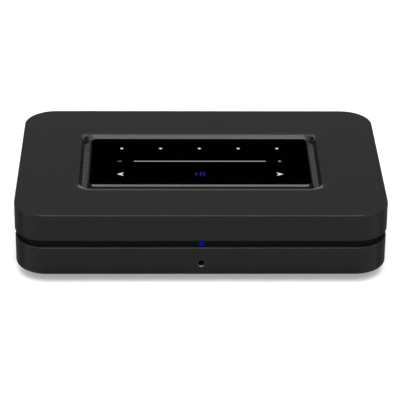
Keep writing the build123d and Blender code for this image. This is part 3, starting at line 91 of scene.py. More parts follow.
camera_data = bpy.data.cameras.new("camera")
camera_data.lens = FOCAL_LENGTH
camera_data.sensor_width = SENSOR_WIDTH
camera = bpy.data.objects.new("camera", camera_data)
facing = Matrix((right, up, -forward)).transposed().to_4x4()
camera.matrix_world = Matrix.Translation(EYE) @ facing
bpy.context.scene.collection.objects.link(camera)
bpy.context.scene.camera = camera
print("camera looks down by", round(math.degrees(PITCH), 1), "degrees")

# %% [markdown]
# Every finish is a small graph of shader nodes. Colours are written as hex values, as a
# painter picks them on a screen, and one function turns them into the linear numbers that
# light is reckoned in. A second function adds a node with its settings and links, so that a
# graph can be read as a list. Both are used for every finish below.

# %% Helpers for finishes
def linear(hex_colour):
    """Linear RGBA from an sRGB hex colour such as 2a2b2d, by the curve of that standard."""
    parts = [int(hex_colour[place:place + 2], 16) / 255 for place in (0, 2, 4)]
    curve = [part / 12.92 if part <= 0.04045 else ((part + 0.055) / 1.055) ** 2.4 for part in parts]
    return (*curve, 1.0)


def add(tree, kind, inputs=None, **settings):
    """Adds a node with its settings, and fills or links its sockets by name or number."""
    made = tree.nodes.new(kind)
    for name, value in settings.items():
        setattr(made, name, value)
    for socket, value in (inputs or {}).items():
        if isinstance(value, bpy.types.NodeSocket):
            tree.links.new(value, made.inputs[socket])
        else:
            made.inputs[socket].default_value = value
    return made


def material(name):
    """An empty material: its tree, and the place on the object that patterns follow."""
    made = bpy.data.materials.new(name)
    made.use_nodes = True
    made.node_tree.nodes.clear()
    place = add(made.node_tree, "ShaderNodeTexCoord").outputs["Object"]
    return made, made.node_tree, place


def close(tree, shader):
    """Sends a shader to the output of its material."""
    add(tree, "ShaderNodeOutputMaterial", {"Surface": shader.outputs[0]})


def tones(tree, factor, low, high):
    """Two colours, mixed by a factor: a socket that holds the colour."""
    # The colours of this node are its sockets 6 and 7, and the mixed one is its output 2
    mixed = add(tree, "ShaderNodeMix", {0: factor, 6: linear(low), 7: linear(high)}, data_type="RGBA")
    return mixed.outputs[2]


dressed = set()


def dress(finish, *names):
    """Gives model nodes a finish."""
    for name in names:
        mesh = nodes[name].data
        mesh.materials.clear()
        mesh.materials.append(finish)
        dressed.add(name)


# %% [markdown]
# Some finishes change along a piece, as where a mould was polished or where the sleeve of a
# capacitor ends. A painted mask could say where, but it needs unwrapping and stays behind
# when a size changes. Here the coordinates of a point are compared with real sizes instead.

# %% Places on a piece
def beyond(tree, place, axis, bound, middle=0.0):
    """1 where the distance from a middle along an axis is more than a bound, else 0."""
    split = add(tree, "ShaderNodeSeparateXYZ", {0: place})
    shifted = add(tree, "ShaderNodeMath", {0: split.outputs[axis], 1: middle}, operation="SUBTRACT")
    distance = add(tree, "ShaderNodeMath", {0: shifted.outputs[0]}, operation="ABSOLUTE")
    far = add(tree, "ShaderNodeMath", {0: distance.outputs[0], 1: bound}, operation="GREATER_THAN")
    return far.outputs[0]


def larger(tree, one, other):
    """The larger of two numbers."""
    return add(tree, "ShaderNodeMath", {0: one, 1: other}, operation="MAXIMUM").outputs[0]


def within(tree, place, boxes):
    """The share of the box that a point is in, or 0: a box is a middle, half sizes and a share."""
    most = 0.0
    for middle, half, share in boxes:
        outside = 0.0
        for axis in (X, Y, Z):
            outside = larger(tree, outside, beyond(tree, place, axis, half[axis], middle[axis]))
        inside = add(tree, "ShaderNodeMapRange", {"Value": outside, "To Min": share, "To Max": 0.0})
        most = larger(tree, most, inside.outputs["Result"])
    return most


# %% [markdown]
# Moulded plastic takes the skin of its mould: a spark-eroded mould leaves a very fine grain,
# and the stock itself wavers a little between two near tones. The grain could be an image,
# but noise at the size of the real grain stays sharp from any distance and needs no
# unwrapping. Where a part of the mould was polished the piece is glossy, which is drawn as a
# thin clear coat. The same recipe with other numbers serves all moulded and cast pieces, so
# it is one function.

# %% Grained finish
CLOUD_GRAINS = 60
RELIEF_SHARE = 0.25
POLISH = 0.1


def grained(name, low, high, grain, roughness, specular=0.5, bump=0.1, metallic=0.0, polished=()):
    """A surface that wavers between two near tones, with a fine grain of the given size.

    polished lists boxes in which the mould was polished, with how glossy the piece is there.
    """
    made, tree, place = material(name)
    grains = add(tree, "ShaderNodeTexNoise", {"Vector": place, "Scale": 1 / grain, "Detail": 3.0})
    clouds = add(tree, "ShaderNodeTexNoise", {
        "Vector": place, "Scale": 1 / (CLOUD_GRAINS * grain), "Detail": 2.0,
    })
    relief = add(tree, "ShaderNodeBump", {
        "Height": grains.outputs["Fac"], "Strength": bump, "Distance": grain * RELIEF_SHARE,
    })
    shader = add(tree, "ShaderNodeBsdfPrincipled", {
        "Base Color": tones(tree, clouds.outputs["Fac"], low, high), "Metallic": metallic,
        "Roughness": roughness, "Specular IOR Level": specular, "Normal": relief.outputs["Normal"],
    })
    if polished:
        tree.links.new(within(tree, place, polished), shader.inputs["Coat Weight"])
        shader.inputs["Coat Roughness"].default_value = POLISH
    close(tree, shader)
    return made


# %% [markdown]
# The two shells are injection moulded ABS, satin black. ABS has an IOR of about 1.5, but the
# grain of 0.25 mm breaks its gloss, so the specular level is far below the 0.5 of a polished
# piece. Three places are polished and draw bright lines round the case: the walls of the
# well with its lip, the edge of the lid and the upper edge of the lower shell. Each is a box
# of the real height of that edge, and the flat top of the lid lies a hair above them all.

# %% Shells of the case
GRAIN = 0.25 * MM
CASE_SPECULAR = 0.09
HAIR = 0.02 * MM
WIDE = 1.0
WELL_HALF = (73.0 * MM, 37.7 * MM)
LID_EDGE = 0.55 * MM
LID_GLOSS = 0.27
RIM_DROP = 21.4 * MM
RIM_EDGE = 0.35 * MM
RIM_GLOSS = 0.44

lid_top = cad_box[1][Z] - HAIR
rim_top = cad_box[1][Z] - RIM_DROP
well_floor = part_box("vent_grille")[0][Z]
polished_places = (
    ((0, 0, (well_floor + lid_top) / 2), (*WELL_HALF, (lid_top - well_floor) / 2), 1.0),
    ((0, 0, lid_top - LID_EDGE / 2), (WIDE, WIDE, LID_EDGE / 2), LID_GLOSS),
    ((0, 0, rim_top - RIM_EDGE / 2), (WIDE, WIDE, RIM_EDGE / 2), RIM_GLOSS),
)
case_abs = grained(
    "satin_moulded_abs", "151515", "171717", GRAIN,
    roughness=0.34, specular=CASE_SPECULAR, polished=polished_places,
)
dress(case_abs, "top_case", "bottom_case")
print("case dressed, well from", round(well_floor / MM, 2), "to", round(lid_top / MM, 2), "mm")

# %% [markdown]
# The island in the well comes from a polished mould, so its edges mirror the lamps. The band
# between the shells lies in their shade. It is given a tone darker than the shells and next
# to no gloss, partly a dull stock of its own and partly painted shade, which keeps the groove
# black. The mask under the glass is of the same dull stock, so that no light strays.

# %% Island and band
frame_abs = grained("polished_moulded_abs", "131313", "151515", GRAIN, roughness=POLISH)
dress(frame_abs, "touch_frame")
# The band's tone is darker than the shells': partly its own stock, partly painted shade of the groove.
band_painted_shade_abs = grained(
    "matt_band_painted_shade", "080808", "0a0a0a", GRAIN, roughness=0.5, specular=0.03,
)
dress(band_painted_shade_abs, "mid_band", "light_mask")
print("island and band dressed, grain of", GRAIN / MM, "mm")

# %% [markdown]
# The rear panel is a tray of black ABS too, with a coarser grain, because it is seen close
# by, when plugs are pushed in. The ring under the case is soft moulded rubber, which has
# almost no gloss.

# %% Panel and foot
PANEL_GRAIN = 0.4 * MM
RUBBER_GRAIN = 0.5 * MM
panel_abs = grained(
    "coarse_moulded_panel", "171717", "1b1b1b", PANEL_GRAIN, roughness=0.5, specular=0.2, bump=0.25,
)
dress(panel_abs, "rear_panel")
rubber = grained(
    "moulded_rubber", "101010", "151515", RUBBER_GRAIN, roughness=0.85, specular=0.2, bump=0.3,
)
dress(rubber, "foot_ring")
print("panel and foot dressed")

# %% [markdown]
# The grille round the island is thin punched steel, powder coated in black. Powder melts to
# tiny bumps of about half a millimetre, like the skin of an orange, so its grain is
# coarser than the moulded one and its gloss is a little higher, which lets the ribs
# between the slots catch the light.

# %% Grille
POWDER_GRAIN = 0.5 * MM
grille_coat = grained(
    "powder_coated_steel", "323232", "3a3a3a", POWDER_GRAIN, roughness=0.4, specular=0.45, bump=0.15,
)
dress(grille_coat, "vent_grille")
print("grille dressed")

# %% [markdown]
# The touch panel is float glass with black ink on its back. Seen from above, only the
# polished front shows: a black body under a sharp, weak reflection. Float glass is so flat
# that it needs no relief, but a slow, faint noise in its roughness stands for the traces
# that fingers leave. Its base is as dark as the ink.

# %% Glass
TRACE_WIDTH = 14 * MM
GLASS_SPECULAR = 0.02
inked_glass, tree, place = material("inked_float_glass")
traces = add(tree, "ShaderNodeTexNoise", {"Vector": place, "Scale": 1 / TRACE_WIDTH, "Detail": 2.0})
sheen = add(tree, "ShaderNodeMapRange", {"Value": traces.outputs["Fac"], "To Min": 0.04, "To Max": 0.08})
shader = add(tree, "ShaderNodeBsdfPrincipled", {
    "Base Color": tones(tree, traces.outputs["Fac"], "000000", "010101"),
    "Roughness": sheen.outputs["Result"], "Specular IOR Level": GLASS_SPECULAR,
})
close(tree, shader)
dress(inked_glass, "touch_glass")
print("glass dressed")

# %% [markdown]
# The marks are windows in the ink, lit from behind by small lamps. A lit window looks nearly
# the same from all sides, so it is an emitting surface. A slow noise makes each window a
# little uneven, as lamps behind plastic are. How strongly it shines may change over the
# piece, which a function of the place says.

# %% Lit window
def lit(name, low, high, patch, light_of=None):
    """A window with light behind it, a little uneven over patches of the given size.

    light_of, where given, makes a socket that says how strongly each point shines.
    """
    made, tree, place = material(name)
    uneven = add(tree, "ShaderNodeTexNoise", {"Vector": place, "Scale": 1 / patch, "Detail": 1.0})
    shader = add(tree, "ShaderNodeBsdfPrincipled", {
        "Base Color": linear("040404"), "Roughness": 0.3, "Specular IOR Level": GLASS_SPECULAR,
        "Emission Color": tones(tree, uneven.outputs["Fac"], low, high),
        "Emission Strength": light_of(tree, place) if light_of else 1.0,
    })
    close(tree, shader)
    return made


# %% [markdown]
# The long slider and the marks at its ends share their lamps and are weaker than the arrows
# and the dots, so the light turns on how far a point lies from the row of the slider, which
# is the middle row of the white marks. The play mark is a dim and patchy blue.

# %% Marks on the glass
SLIDER_REACH = 5 * MM
SLIDER_LIGHT = 0.42
WHITE_PATCH = 30 * MM
BLUE_PATCH = 3 * MM
mark_low, mark_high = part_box("white_icons")
slider_row = (mark_low[Y] + mark_high[Y]) / 2


def weaker_row(tree, place):
    """Full light, but less of it near the row of the slider."""
    away = beyond(tree, place, Y, SLIDER_REACH, slider_row)
    light = add(tree, "ShaderNodeMapRange", {"Value": away, "To Min": SLIDER_LIGHT, "To Max": 1.0})
    return light.outputs["Result"]


white_light = lit("white_lit_window", "dcdcdc", "ececec", WHITE_PATCH, weaker_row)
dress(white_light, "white_icons")
blue_light = lit("blue_lit_window", "06042c", "2010a0", BLUE_PATCH)
dress(blue_light, "play_icon")
print("slider row at", round(slider_row / MM, 1), "mm")

# %% [markdown]
# The lens of the status lamp is a small clear plug that is pressed into the band from inside
# and held by its flange. The lamp sits right behind it, so it is brightest in its middle and
# fades on the way to the rim. The distance from the middle of its front face says how far.

# %% Status lens
LENS_CORE = 0.3 * MM
LENS_PATCH = 2 * MM
RIM_LIGHT = 0.03
lens_low, lens_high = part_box("status_lens")
flange_radius = (lens_high[Z] - lens_low[Z]) / 2
lens_middle = ((lens_low[X] + lens_high[X]) / 2, lens_low[Y], (lens_low[Z] + lens_high[Z]) / 2)


def fading_rim(tree, place):
    """Full light in the middle of the lens, and little at its flange."""
    away = add(tree, "ShaderNodeVectorMath", {0: place, 1: lens_middle}, operation="DISTANCE")
    light = add(tree, "ShaderNodeMapRange", {
        "Value": away.outputs["Value"], "From Min": LENS_CORE, "From Max": flange_radius,
        "To Min": 1.0, "To Max": RIM_LIGHT,
    })
    return light.outputs["Result"]


blue_lens = lit("blue_lit_lens", "0000a8", "0006c8", LENS_PATCH, fading_rim)
dress(blue_lens, "status_lens")
print("flange of the lens has a radius of", round(flange_radius / MM, 2), "mm")

# %% [markdown]
# Metal shows on the sockets and the fasteners: nickel on shells, gold on contacts, black
# zinc on screws, and bare aluminium on the heat sinks. The reflection of a metal carries its
# colour, so the base colour is that of the metal, metallic is 1 and the IOR stays as it is.
# Stamped, turned and drawn pieces have fine lines, for which a noise is stretched along one
# axis. The ring of the front jack was blasted with beads and has no lines, so its noise
# isn't stretched.

# %% Metals
LINE = 0.15 * MM
ROUGH_SPREAD = 0.3
ALONG_Y = (1.0, 0.05, 1.0)
ALONG_Z = (1.0, 1.0, 0.05)
EVEN = (1.0, 1.0, 1.0)


def metal(name, low, high, roughness, stretch):
    """A plated, blasted or drawn metal, with its fine lines along the axis that is stretched."""
    made, tree, place = material(name)
    along = add(tree, "ShaderNodeMapping", {"Vector": place, "Scale": stretch})
    lines = add(tree, "ShaderNodeTexNoise", {
        "Vector": along.outputs[0], "Scale": 1 / LINE, "Detail": 3.0,
    })
    rough = add(tree, "ShaderNodeMapRange", {
        "Value": lines.outputs["Fac"], "To Min": roughness * (1 - ROUGH_SPREAD),
        "To Max": roughness * (1 + ROUGH_SPREAD),
    })
    relief = add(tree, "ShaderNodeBump", {
        "Height": lines.outputs["Fac"], "Strength": 0.08, "Distance": LINE * RELIEF_SHARE,
    })
    shader = add(tree, "ShaderNodeBsdfPrincipled", {
        "Base Color": tones(tree, lines.outputs["Fac"], low, high), "Metallic": 1.0,
        "Roughness": rough.outputs["Result"], "Normal": relief.outputs["Normal"],
    })
    close(tree, shader)
    return made


nickel = metal("nickel_plated_brass", "b9b6ae", "cfccc4", roughness=0.22, stretch=ALONG_Y)
dress(nickel, "phono_shells", "usb_socket", "hdmi_socket", "mains_pins", "audio_shield")
ring_nickel = metal("bead_blasted_nickel", "464646", "525252", roughness=0.42, stretch=EVEN)
dress(ring_nickel, "jack_ring")
gold = metal("gold_plated_contact", "d8a840", "ecc468", roughness=0.2, stretch=ALONG_Y)
dress(gold, "network_contacts")
zinc = metal("black_zinc_screw", "3a3a3c", "4a4a4c", roughness=0.38, stretch=ALONG_Z)
dress(zinc, "case_screws", "frame_screws", "board_screws", "panel_screws")
drawn = metal("drawn_aluminium", "a4a6a8", "b8babc", roughness=0.35, stretch=ALONG_Z)
dress(drawn, "heat_sink", "supply_heat_sink")
print("metals dressed, lines of", LINE / MM, "mm")

# %% [markdown]
# The bodies of the sockets are glass filled nylon, which comes out of the mould a little
# cloudy. The shutter of the optical socket is the same stuff in grey, so that the flap can
# be told from the mouth round it.

# %% Socket bodies
NYLON_GRAIN = 0.3 * MM
nylon = grained(
    "glass_filled_nylon", "131313", "1c1c1c", NYLON_GRAIN, roughness=0.42, specular=0.3, bump=0.15,
)
dress(
    nylon, "phono_bodies", "rear_jacks", "optical_socket", "network_socket", "mains_inlet",
    "headphone_jack", "contact_tongues", "cable_headers", "remote_receiver",
)
grey_nylon = grained(
    "grey_moulded_nylon", "3b3b3d", "444446", NYLON_GRAIN, roughness=0.4, specular=0.35, bump=0.15,
)
dress(grey_nylon, "optical_shutter")
print("socket bodies dressed")

# %% [markdown]
# A circuit board is woven glass in epoxy under a solder mask. The weave shows as a faint
# chequer of about half a millimetre, which is drawn as relief, and copper tracks under the
# mask show as slightly lighter lanes. A pattern of square cells makes the lanes.

# %% Circuit boards
WEAVE = 0.5 * MM
WEAVE_RELIEF = 0.02 * MM
LANE = 3.0 * MM
board_mask, tree, place = material("solder_masked_laminate")
lanes = add(tree, "ShaderNodeTexVoronoi", {"Vector": place, "Scale": 1 / LANE}, distance="CHEBYCHEV")
weave = add(tree, "ShaderNodeTexChecker", {"Vector": place, "Scale": 1 / WEAVE})
relief = add(tree, "ShaderNodeBump", {
    "Height": weave.outputs["Fac"], "Strength": 0.1, "Distance": WEAVE_RELIEF,
})
shader = add(tree, "ShaderNodeBsdfPrincipled", {
    "Base Color": tones(tree, lanes.outputs["Distance"], "12502a", "0a3018"),
    "Roughness": 0.3, "Normal": relief.outputs["Normal"],
})
close(tree, shader)
dress(board_mask, "main_board", "supply_board", "front_board", "lamp_board", "touch_board")
print("boards dressed")

# %% [markdown]
# Moulded epoxy packages, sintered ferrite, pads, tapes and films inside the case are plain
# materials that are told apart by tone, grain and roughness alone, so they reuse the grain
# recipe. Each line of the table gives the pieces, their two tones, the size of the grain and
# the roughness. Only the can over the radio is bare metal: tin on steel.

# %% Parts on the boards
inner_finishes = {
    "epoxy_package": (("processor", "board_chips"), "202022", "28282a", 0.15 * MM, 0.55),
    "lamp_package": (("indicator_leds",), "d8d4b8", "e8e4cc", 0.2 * MM, 0.4),
    "silicone_pad": (("thermal_pad",), "7c8890", "8c98a0", 0.3 * MM, 0.8),
    "foam_tape": (("glass_tape",), "161616", "1e1e1e", 0.3 * MM, 0.9),
    "sintered_ferrite": (("mains_choke",), "242426", "303032", 0.2 * MM, 0.7),
    "potted_film_box": (("filter_capacitor",), "b89020", "c8a030", 0.4 * MM, 0.35),
    "copper_film": (("antennas",), "6a4a20", "7c5828", 0.5 * MM, 0.35),
    "lead_jacket": (("antenna_leads",), "1a1a1a", "222222", 0.3 * MM, 0.4),
    "fish_paper": (("insulation_sheet",), "c4c0b0", "d0ccbc", 0.6 * MM, 0.7),
}
for name, (names, low, high, grain, roughness) in inner_finishes.items():
    dress(grained(name, low, high, grain, roughness), *names)
TIN_GRAIN = 0.3 * MM
tin = grained("tin_plated_can", "9a9a98", "aaaaa8", TIN_GRAIN, roughness=0.35, metallic=1.0)
dress(tin, "wireless_module")
print("inner finishes:", len(inner_finishes) + 1)

# %% [markdown]
# Some pieces hold two stuffs in one body. They are told apart by where a point lies: the
# sleeve of a capacitor ends where its aluminium top begins, a fuse is glass between two
# caps, and the transformer is wound between its core and its bobbin. A phono contact is
# gilt at its mouth and painted nearly black where its leaves lie deep inside: painted shade.

# %% Finish of two stuffs, or of one stuff with painted shade
INNER_GRAIN = 0.3 * MM
INNER_RELIEF = 0.05 * MM


def twofold(name, factor_of, low, high, roughness, metal_high=False, metallic=0.0):
    """A body of two stuffs, or of one stuff and painted shade; factor_of gives 1 where the second colour
    is.
    """
    made, tree, place = material(name)
    factor = factor_of(tree, place)
    grains = add(tree, "ShaderNodeTexNoise", {
        "Vector": place, "Scale": 1 / INNER_GRAIN, "Detail": 2.0,
    })
    relief = add(tree, "ShaderNodeBump", {
        "Height": grains.outputs["Fac"], "Strength": 0.08, "Distance": INNER_RELIEF,
    })
    shader = add(tree, "ShaderNodeBsdfPrincipled", {
        "Base Color": tones(tree, factor, low, high), "Roughness": roughness,
        "Metallic": metallic, "Normal": relief.outputs["Normal"],
    })
    if metal_high:
        tree.links.new(factor, shader.inputs["Metallic"])
    close(tree, shader)
    return made


# %% [markdown]
# The capacitors stand upright, so the height of a point tells the sleeve from the bare top.
# The fuse lies along Y and has a cap at each end. The core of the transformer is a slab
# across X, with its taped winding on both sides.

# %% Pieces of two stuffs, and a contact with painted shade
SLEEVE_EDGE = 0.1 * MM
FUSE_CAP = 3.0 * MM
CORE_HALF = 4.1 * MM
PAINTED_SHADE_DEPTH = 1.5 * MM

for name in ("bulk_capacitor", "output_capacitors", "audio_capacitors"):
    can_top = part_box(name)[1][Z]
    dress(twofold(
        f"sleeved_{name}", lambda tree, place: beyond(tree, place, Z, can_top - SLEEVE_EDGE),
        "141a26", "b4b6b8", roughness=0.35, metal_high=True,
    ), name)

fuse_low, fuse_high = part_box("mains_fuse")
fuse_middle = (fuse_low[Y] + fuse_high[Y]) / 2
glass_half = (fuse_high[Y] - fuse_low[Y]) / 2 - FUSE_CAP
dress(twofold(
    "glass_and_capped_fuse", lambda tree, place: beyond(tree, place, Y, glass_half, fuse_middle),
    "9aa4a4", "c0beb8", roughness=0.15, metal_high=True,
), "mains_fuse")

winding_low, winding_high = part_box("transformer")
core_middle = (winding_low[X] + winding_high[X]) / 2
dress(twofold(
    "taped_winding", lambda tree, place: beyond(tree, place, X, CORE_HALF, core_middle),
    "262628", "b8a018", roughness=0.45,
), "transformer")

# The contact keeps its gilt near the face and is painted nearly black deeper in: painted shade inside
# the hole.
contact_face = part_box("phono_contacts")[1][Y]
dress(twofold(
    "gilt_mouth_with_painted_shade_inside",
    lambda tree, place: beyond(tree, place, Y, PAINTED_SHADE_DEPTH, contact_face),
    "d8a840", "120e06", roughness=0.25, metallic=1.0,
), "phono_contacts")
print("glass of the fuse is", round(2 * glass_half / MM, 1), "mm long")

# %% [markdown]
# Flat ribbons are white polyester film with a conductor every millimetre, and the supply
# wires have red and black jackets in turn. A sawtooth along one axis draws both.

# %% Ribbons and wires
CONDUCTOR_PITCH = 1.0 * MM
JACKET_PITCH = 5.0 * MM


def striped(name, low, high, axis, pitch, share, roughness):
    """Stripes across an axis: the second colour takes a share of each pitch."""
    made, tree, place = material(name)
    split = add(tree, "ShaderNodeSeparateXYZ", {0: place})
    steps = add(tree, "ShaderNodeMath", {0: split.outputs[axis], 1: 1 / pitch}, operation="MULTIPLY")
    saw = add(tree, "ShaderNodeMath", {0: steps.outputs[0]}, operation="FRACT")
    mask = add(tree, "ShaderNodeMath", {0: saw.outputs[0], 1: share}, operation="LESS_THAN")
    shader = add(tree, "ShaderNodeBsdfPrincipled", {
        "Base Color": tones(tree, mask.outputs[0], low, high), "Roughness": roughness,
    })
    close(tree, shader)
    return made


ribbon_film = striped(
    "conductor_ribbon", "d8d8d0", "a89468", axis=X, pitch=CONDUCTOR_PITCH, share=0.6, roughness=0.35,
)
dress(ribbon_film, "flat_ribbons")
wire_jackets = striped(
    "paired_jackets", "161616", "9c1410", axis=Y, pitch=JACKET_PITCH, share=0.5, roughness=0.4,
)
dress(wire_jackets, "supply_wires")
print("nodes without a finish:", sorted(set(nodes) - dressed))

# %% [markdown]
# A round phono socket has a coloured ring of plastic between its shell and its contact, by
# which a user finds the right one. The model has the four contacts in one node, so their
# middles are measured first: seen along X, the points of a contact lie close together, and
# a wide gap parts it from the next one.

# %% Middles of the phono sockets
SOCKET_GAP = 3 * MM


def middles_along_x(mesh, gap):
    """The middle of each group of points of a mesh that lies a gap apart along X."""
    points = sorted((vert.co for vert in mesh.vertices), key=lambda point: point.x)
    groups = [[points[0]]]
    for before, point in zip(points, points[1:]):
        if point.x - before.x > gap:
            groups.append([])
        groups[-1].append(point)
    return [
        Vector([(min(values) + max(values)) / 2 for values in zip(*group)]) for group in groups
    ]


phono_middles = middles_along_x(nodes["phono_contacts"].data, SOCKET_GAP)
print("phono sockets at x of", [round(middle.x / MM, 1) for middle in phono_middles], "mm")

# %% [markdown]
# The ring is a flat washer with bevelled rims, and it lies on the face of the insulator. Its
# profile is spun round the axis of the socket. A torus would have been quicker, but the real
# ring has a flat face, and its bevel catches the light.

# %% Spinning a ring
TURN_STEPS = 48


def piece(name, work, finish, body="case"):
    """Turns a finished bmesh into a piece that rides on a body."""
    mesh = bpy.data.meshes.new(name)
    work.to_mesh(mesh)
    work.free()
    mesh.materials.append(finish)
    made = bpy.data.objects.new(name, mesh)
    bpy.context.scene.collection.objects.link(made)
    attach(made, body)
    return made


def spun(name, profile, center, finish):
    """A ring: a closed profile of (radius, y) points spun round an axis along Y."""
    work = bmesh.new()
    rings = []
    for step in range(TURN_STEPS):
        turn = 2 * math.pi * step / TURN_STEPS
        rings.append([
            work.verts.new((center.x + r * math.cos(turn), y, center.z + r * math.sin(turn)))
            for r, y in profile
        ])
    for ring, following in zip(rings, rings[1:] + rings[:1]):
        for here, there in zip(range(len(profile)), list(range(1, len(profile))) + [0]):
            work.faces.new((ring[here], ring[there], following[there], following[here]))
    bmesh.ops.recalc_face_normals(work, faces=work.faces)
    return piece(name, work, finish)


# %% [markdown]
# The colours follow the custom of home audio: white for the left channel, red for the right
# one, black for the subwoofer and orange for the coaxial digital output.

# %% Collars of the phono sockets
COLLAR_INNER = 2.15 * MM
COLLAR_OUTER = 3.38 * MM
COLLAR_DEPTH = 0.4 * MM
COLLAR_BEVEL = 0.15 * MM
COLLAR_GRAIN = 0.3 * MM

collar_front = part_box("phono_bodies")[1][Y]
collar_rear = collar_front + COLLAR_DEPTH
collar_profile = [
    (COLLAR_INNER, collar_front), (COLLAR_OUTER, collar_front),
    (COLLAR_OUTER, collar_rear - COLLAR_BEVEL), (COLLAR_OUTER - COLLAR_BEVEL, collar_rear),
    (COLLAR_INNER + COLLAR_BEVEL, collar_rear), (COLLAR_INNER, collar_rear - COLLAR_BEVEL),
]
collar_colours = {"left": "d8d8d4", "right": "a01414", "subwoofer": "1a1a1c", "coaxial": "c86a10"}
for (label, colour), middle in zip(collar_colours.items(), phono_middles):
    shade = grained(f"moulded_{label}_collar", colour, colour, COLLAR_GRAIN, roughness=0.4)
    spun(f"phono_collar_{label}", collar_profile, middle, shade)
print("collars:", len(collar_colours))

# %% [markdown]
# The studio is a white world. The camera and the gloss see it at a strength of 1, so that
# the background is white and metal mirrors it, but it lights the case with a weak fill only,
# because the lamps are to give the shade.

# %% World
FILL = 0.25
WHITE = linear("ffffff")


def background_rays(tree):
    """1 for rays that look at the background: from the camera, from gloss and through glass."""
    path = add(tree, "ShaderNodeLightPath")
    seen = larger(tree, path.outputs["Is Camera Ray"], path.outputs["Is Glossy Ray"])
    return larger(tree, seen, path.outputs["Is Transmission Ray"])


world = bpy.data.worlds.new("studio")
bpy.context.scene.world = world
world.use_nodes = True
tree = world.node_tree
tree.nodes.clear()
white = add(tree, "ShaderNodeBackground", {"Color": WHITE, "Strength": 1.0})
fill = add(tree, "ShaderNodeBackground", {"Color": WHITE, "Strength": FILL})
sky = add(tree, "ShaderNodeMixShader", {
    0: background_rays(tree), 1: fill.outputs[0], 2: white.outputs[0],
})
add(tree, "ShaderNodeOutputWorld", {"Surface": sky.outputs[0]})
print("fill light:", FILL)

# %% [markdown]
# The floor is white paper. The lamps alone leave it a pale grey, so for the camera, gloss
# and glass it has a weak glow of its own, which makes it white and keeps the soft shadow
# round the case. More light would do that too, but it would wash out the black case. Far
# from the case, where the lamps don't reach, the glow grows until it is white by itself, so
# that a low view has no grey horizon.

# %% Floor
FLOOR_GLOW = 0.29
GLOW_STARTS = 0.9
GLOW_FULL = 1.5
FLOOR_HALF = 4.0
PAPER_FIBRE = 2 * MM


def paper_tones(tree, place, low, high):
    """The colour of paper, between two near tones, with fibres of their real width."""
    fibres = add(tree, "ShaderNodeTexNoise", {
        "Vector": place, "Scale": 1 / PAPER_FIBRE, "Detail": 2.0,
    })
    return tones(tree, fibres.outputs["Fac"], low, high)


paper, tree, place = material("white_paper_floor")
matt = add(tree, "ShaderNodeBsdfDiffuse", {"Color": paper_tones(tree, place, "e4e4e4", "e8e8e8")})
away = add(tree, "ShaderNodeVectorMath", {0: place}, operation="LENGTH")
strength = add(tree, "ShaderNodeMapRange", {
    "Value": away.outputs["Value"], "From Min": GLOW_STARTS, "From Max": GLOW_FULL,
    "To Min": FLOOR_GLOW, "To Max": 1.0,
})
glow = add(tree, "ShaderNodeEmission", {"Color": WHITE, "Strength": strength.outputs["Result"]})
unlit = add(tree, "ShaderNodeEmission", {"Strength": 0.0})
seen_glow = add(tree, "ShaderNodeMixShader", {
    0: background_rays(tree), 1: unlit.outputs[0], 2: glow.outputs[0],
})
close(tree, add(tree, "ShaderNodeAddShader", {0: matt.outputs[0], 1: seen_glow.outputs[0]}))

floor_mesh = bpy.data.meshes.new("floor")
corners = [
    (-FLOOR_HALF, -FLOOR_HALF, 0), (FLOOR_HALF, -FLOOR_HALF, 0),
    (FLOOR_HALF, FLOOR_HALF, 0), (-FLOOR_HALF, FLOOR_HALF, 0),
]
floor_mesh.from_pydata(corners, [], [(0, 1, 2, 3)])
floor_mesh.materials.append(paper)
floor = bpy.data.objects.new("floor", floor_mesh)
bpy.context.scene.collection.objects.link(floor)
print("floor is", 2 * FLOOR_HALF, "m wide")

# %% [markdown]
# Three soft boxes light the case. On satin black plastic, much of what the eye sees is
# gloss, so shade and gloss are lit apart. The key box hangs high in front, and it is the
# only one that gloss may mirror: it draws the lines on the edges of the lid and of the lower
# shell. The front box and the rear box only shade the faces that they look at. A box is
# given by its radiance, which is what a mirror would show of it, and its power follows: the
# radiance of a flat lamp is its power over four times its area.

# %% Soft boxes
LAMP_SHARE = 4.0
LAMP_DISTANCE = 2.0


def toward(azimuth, elevation):
    """The direction from the case to a place round it, in degrees: azimuth 0 lies in front."""
    turn, lift = math.radians(azimuth), math.radians(elevation)
    return Vector((
        math.sin(turn) * math.cos(lift), -math.cos(turn) * math.cos(lift), math.sin(lift),
    ))


def softbox(name, azimuth, elevation, size, radiance, mirrored):
    """A flat lamp that is aimed at the middle of the case."""
    lamp = bpy.data.lights.new(name, "AREA")
    lamp.shape = "RECTANGLE"
    lamp.size, lamp.size_y = size
    lamp.energy = radiance * LAMP_SHARE * size[0] * size[1]
    made = bpy.data.objects.new(name, lamp)
    aim = toward(azimuth, elevation)
    made.location = aim * LAMP_DISTANCE
    made.rotation_euler = aim.to_track_quat("Z", "Y").to_euler()
    made.visible_glossy = mirrored
    bpy.context.scene.collection.objects.link(made)
    print(name, "has", round(lamp.energy, 1), "W")


softbox("key_softbox", azimuth=0, elevation=60, size=(1.5, 1.5), radiance=5.4, mirrored=True)
softbox("front_softbox", azimuth=0, elevation=22, size=(1.6, 0.6), radiance=2.2, mirrored=False)
softbox("rear_softbox", azimuth=180, elevation=30, size=(1.6, 0.9), radiance=4.0, mirrored=False)

# %% [markdown]
# Two thin ribbons of light hang in front, like the strip lights of a product studio. Only
# gloss sees them. The high one is what the rear slope of the well mirrors, and the low one
# draws the line on the front edge of the island. They are bent round the case and sink
# towards their ends, so that each line keeps its height along the whole edge. Lamps can't be
# bent, so they are strips of mesh that shine.

# %% Ribbons of light
RIBBON_STEPS = 24
RIBBON_DISTANCE = 2.2
DROP_AT = 111.0


def for_gloss(name, work, finish):
    """A piece of the studio that only gloss sees."""
    mesh = bpy.data.meshes.new(name)
    work.to_mesh(mesh)
    work.free()
    mesh.materials.append(finish)
    made = bpy.data.objects.new(name, mesh)
    made.visible_camera = False
    made.visible_diffuse = False
    made.visible_transmission = False
    made.visible_shadow = False
    bpy.context.scene.collection.objects.link(made)
    return made


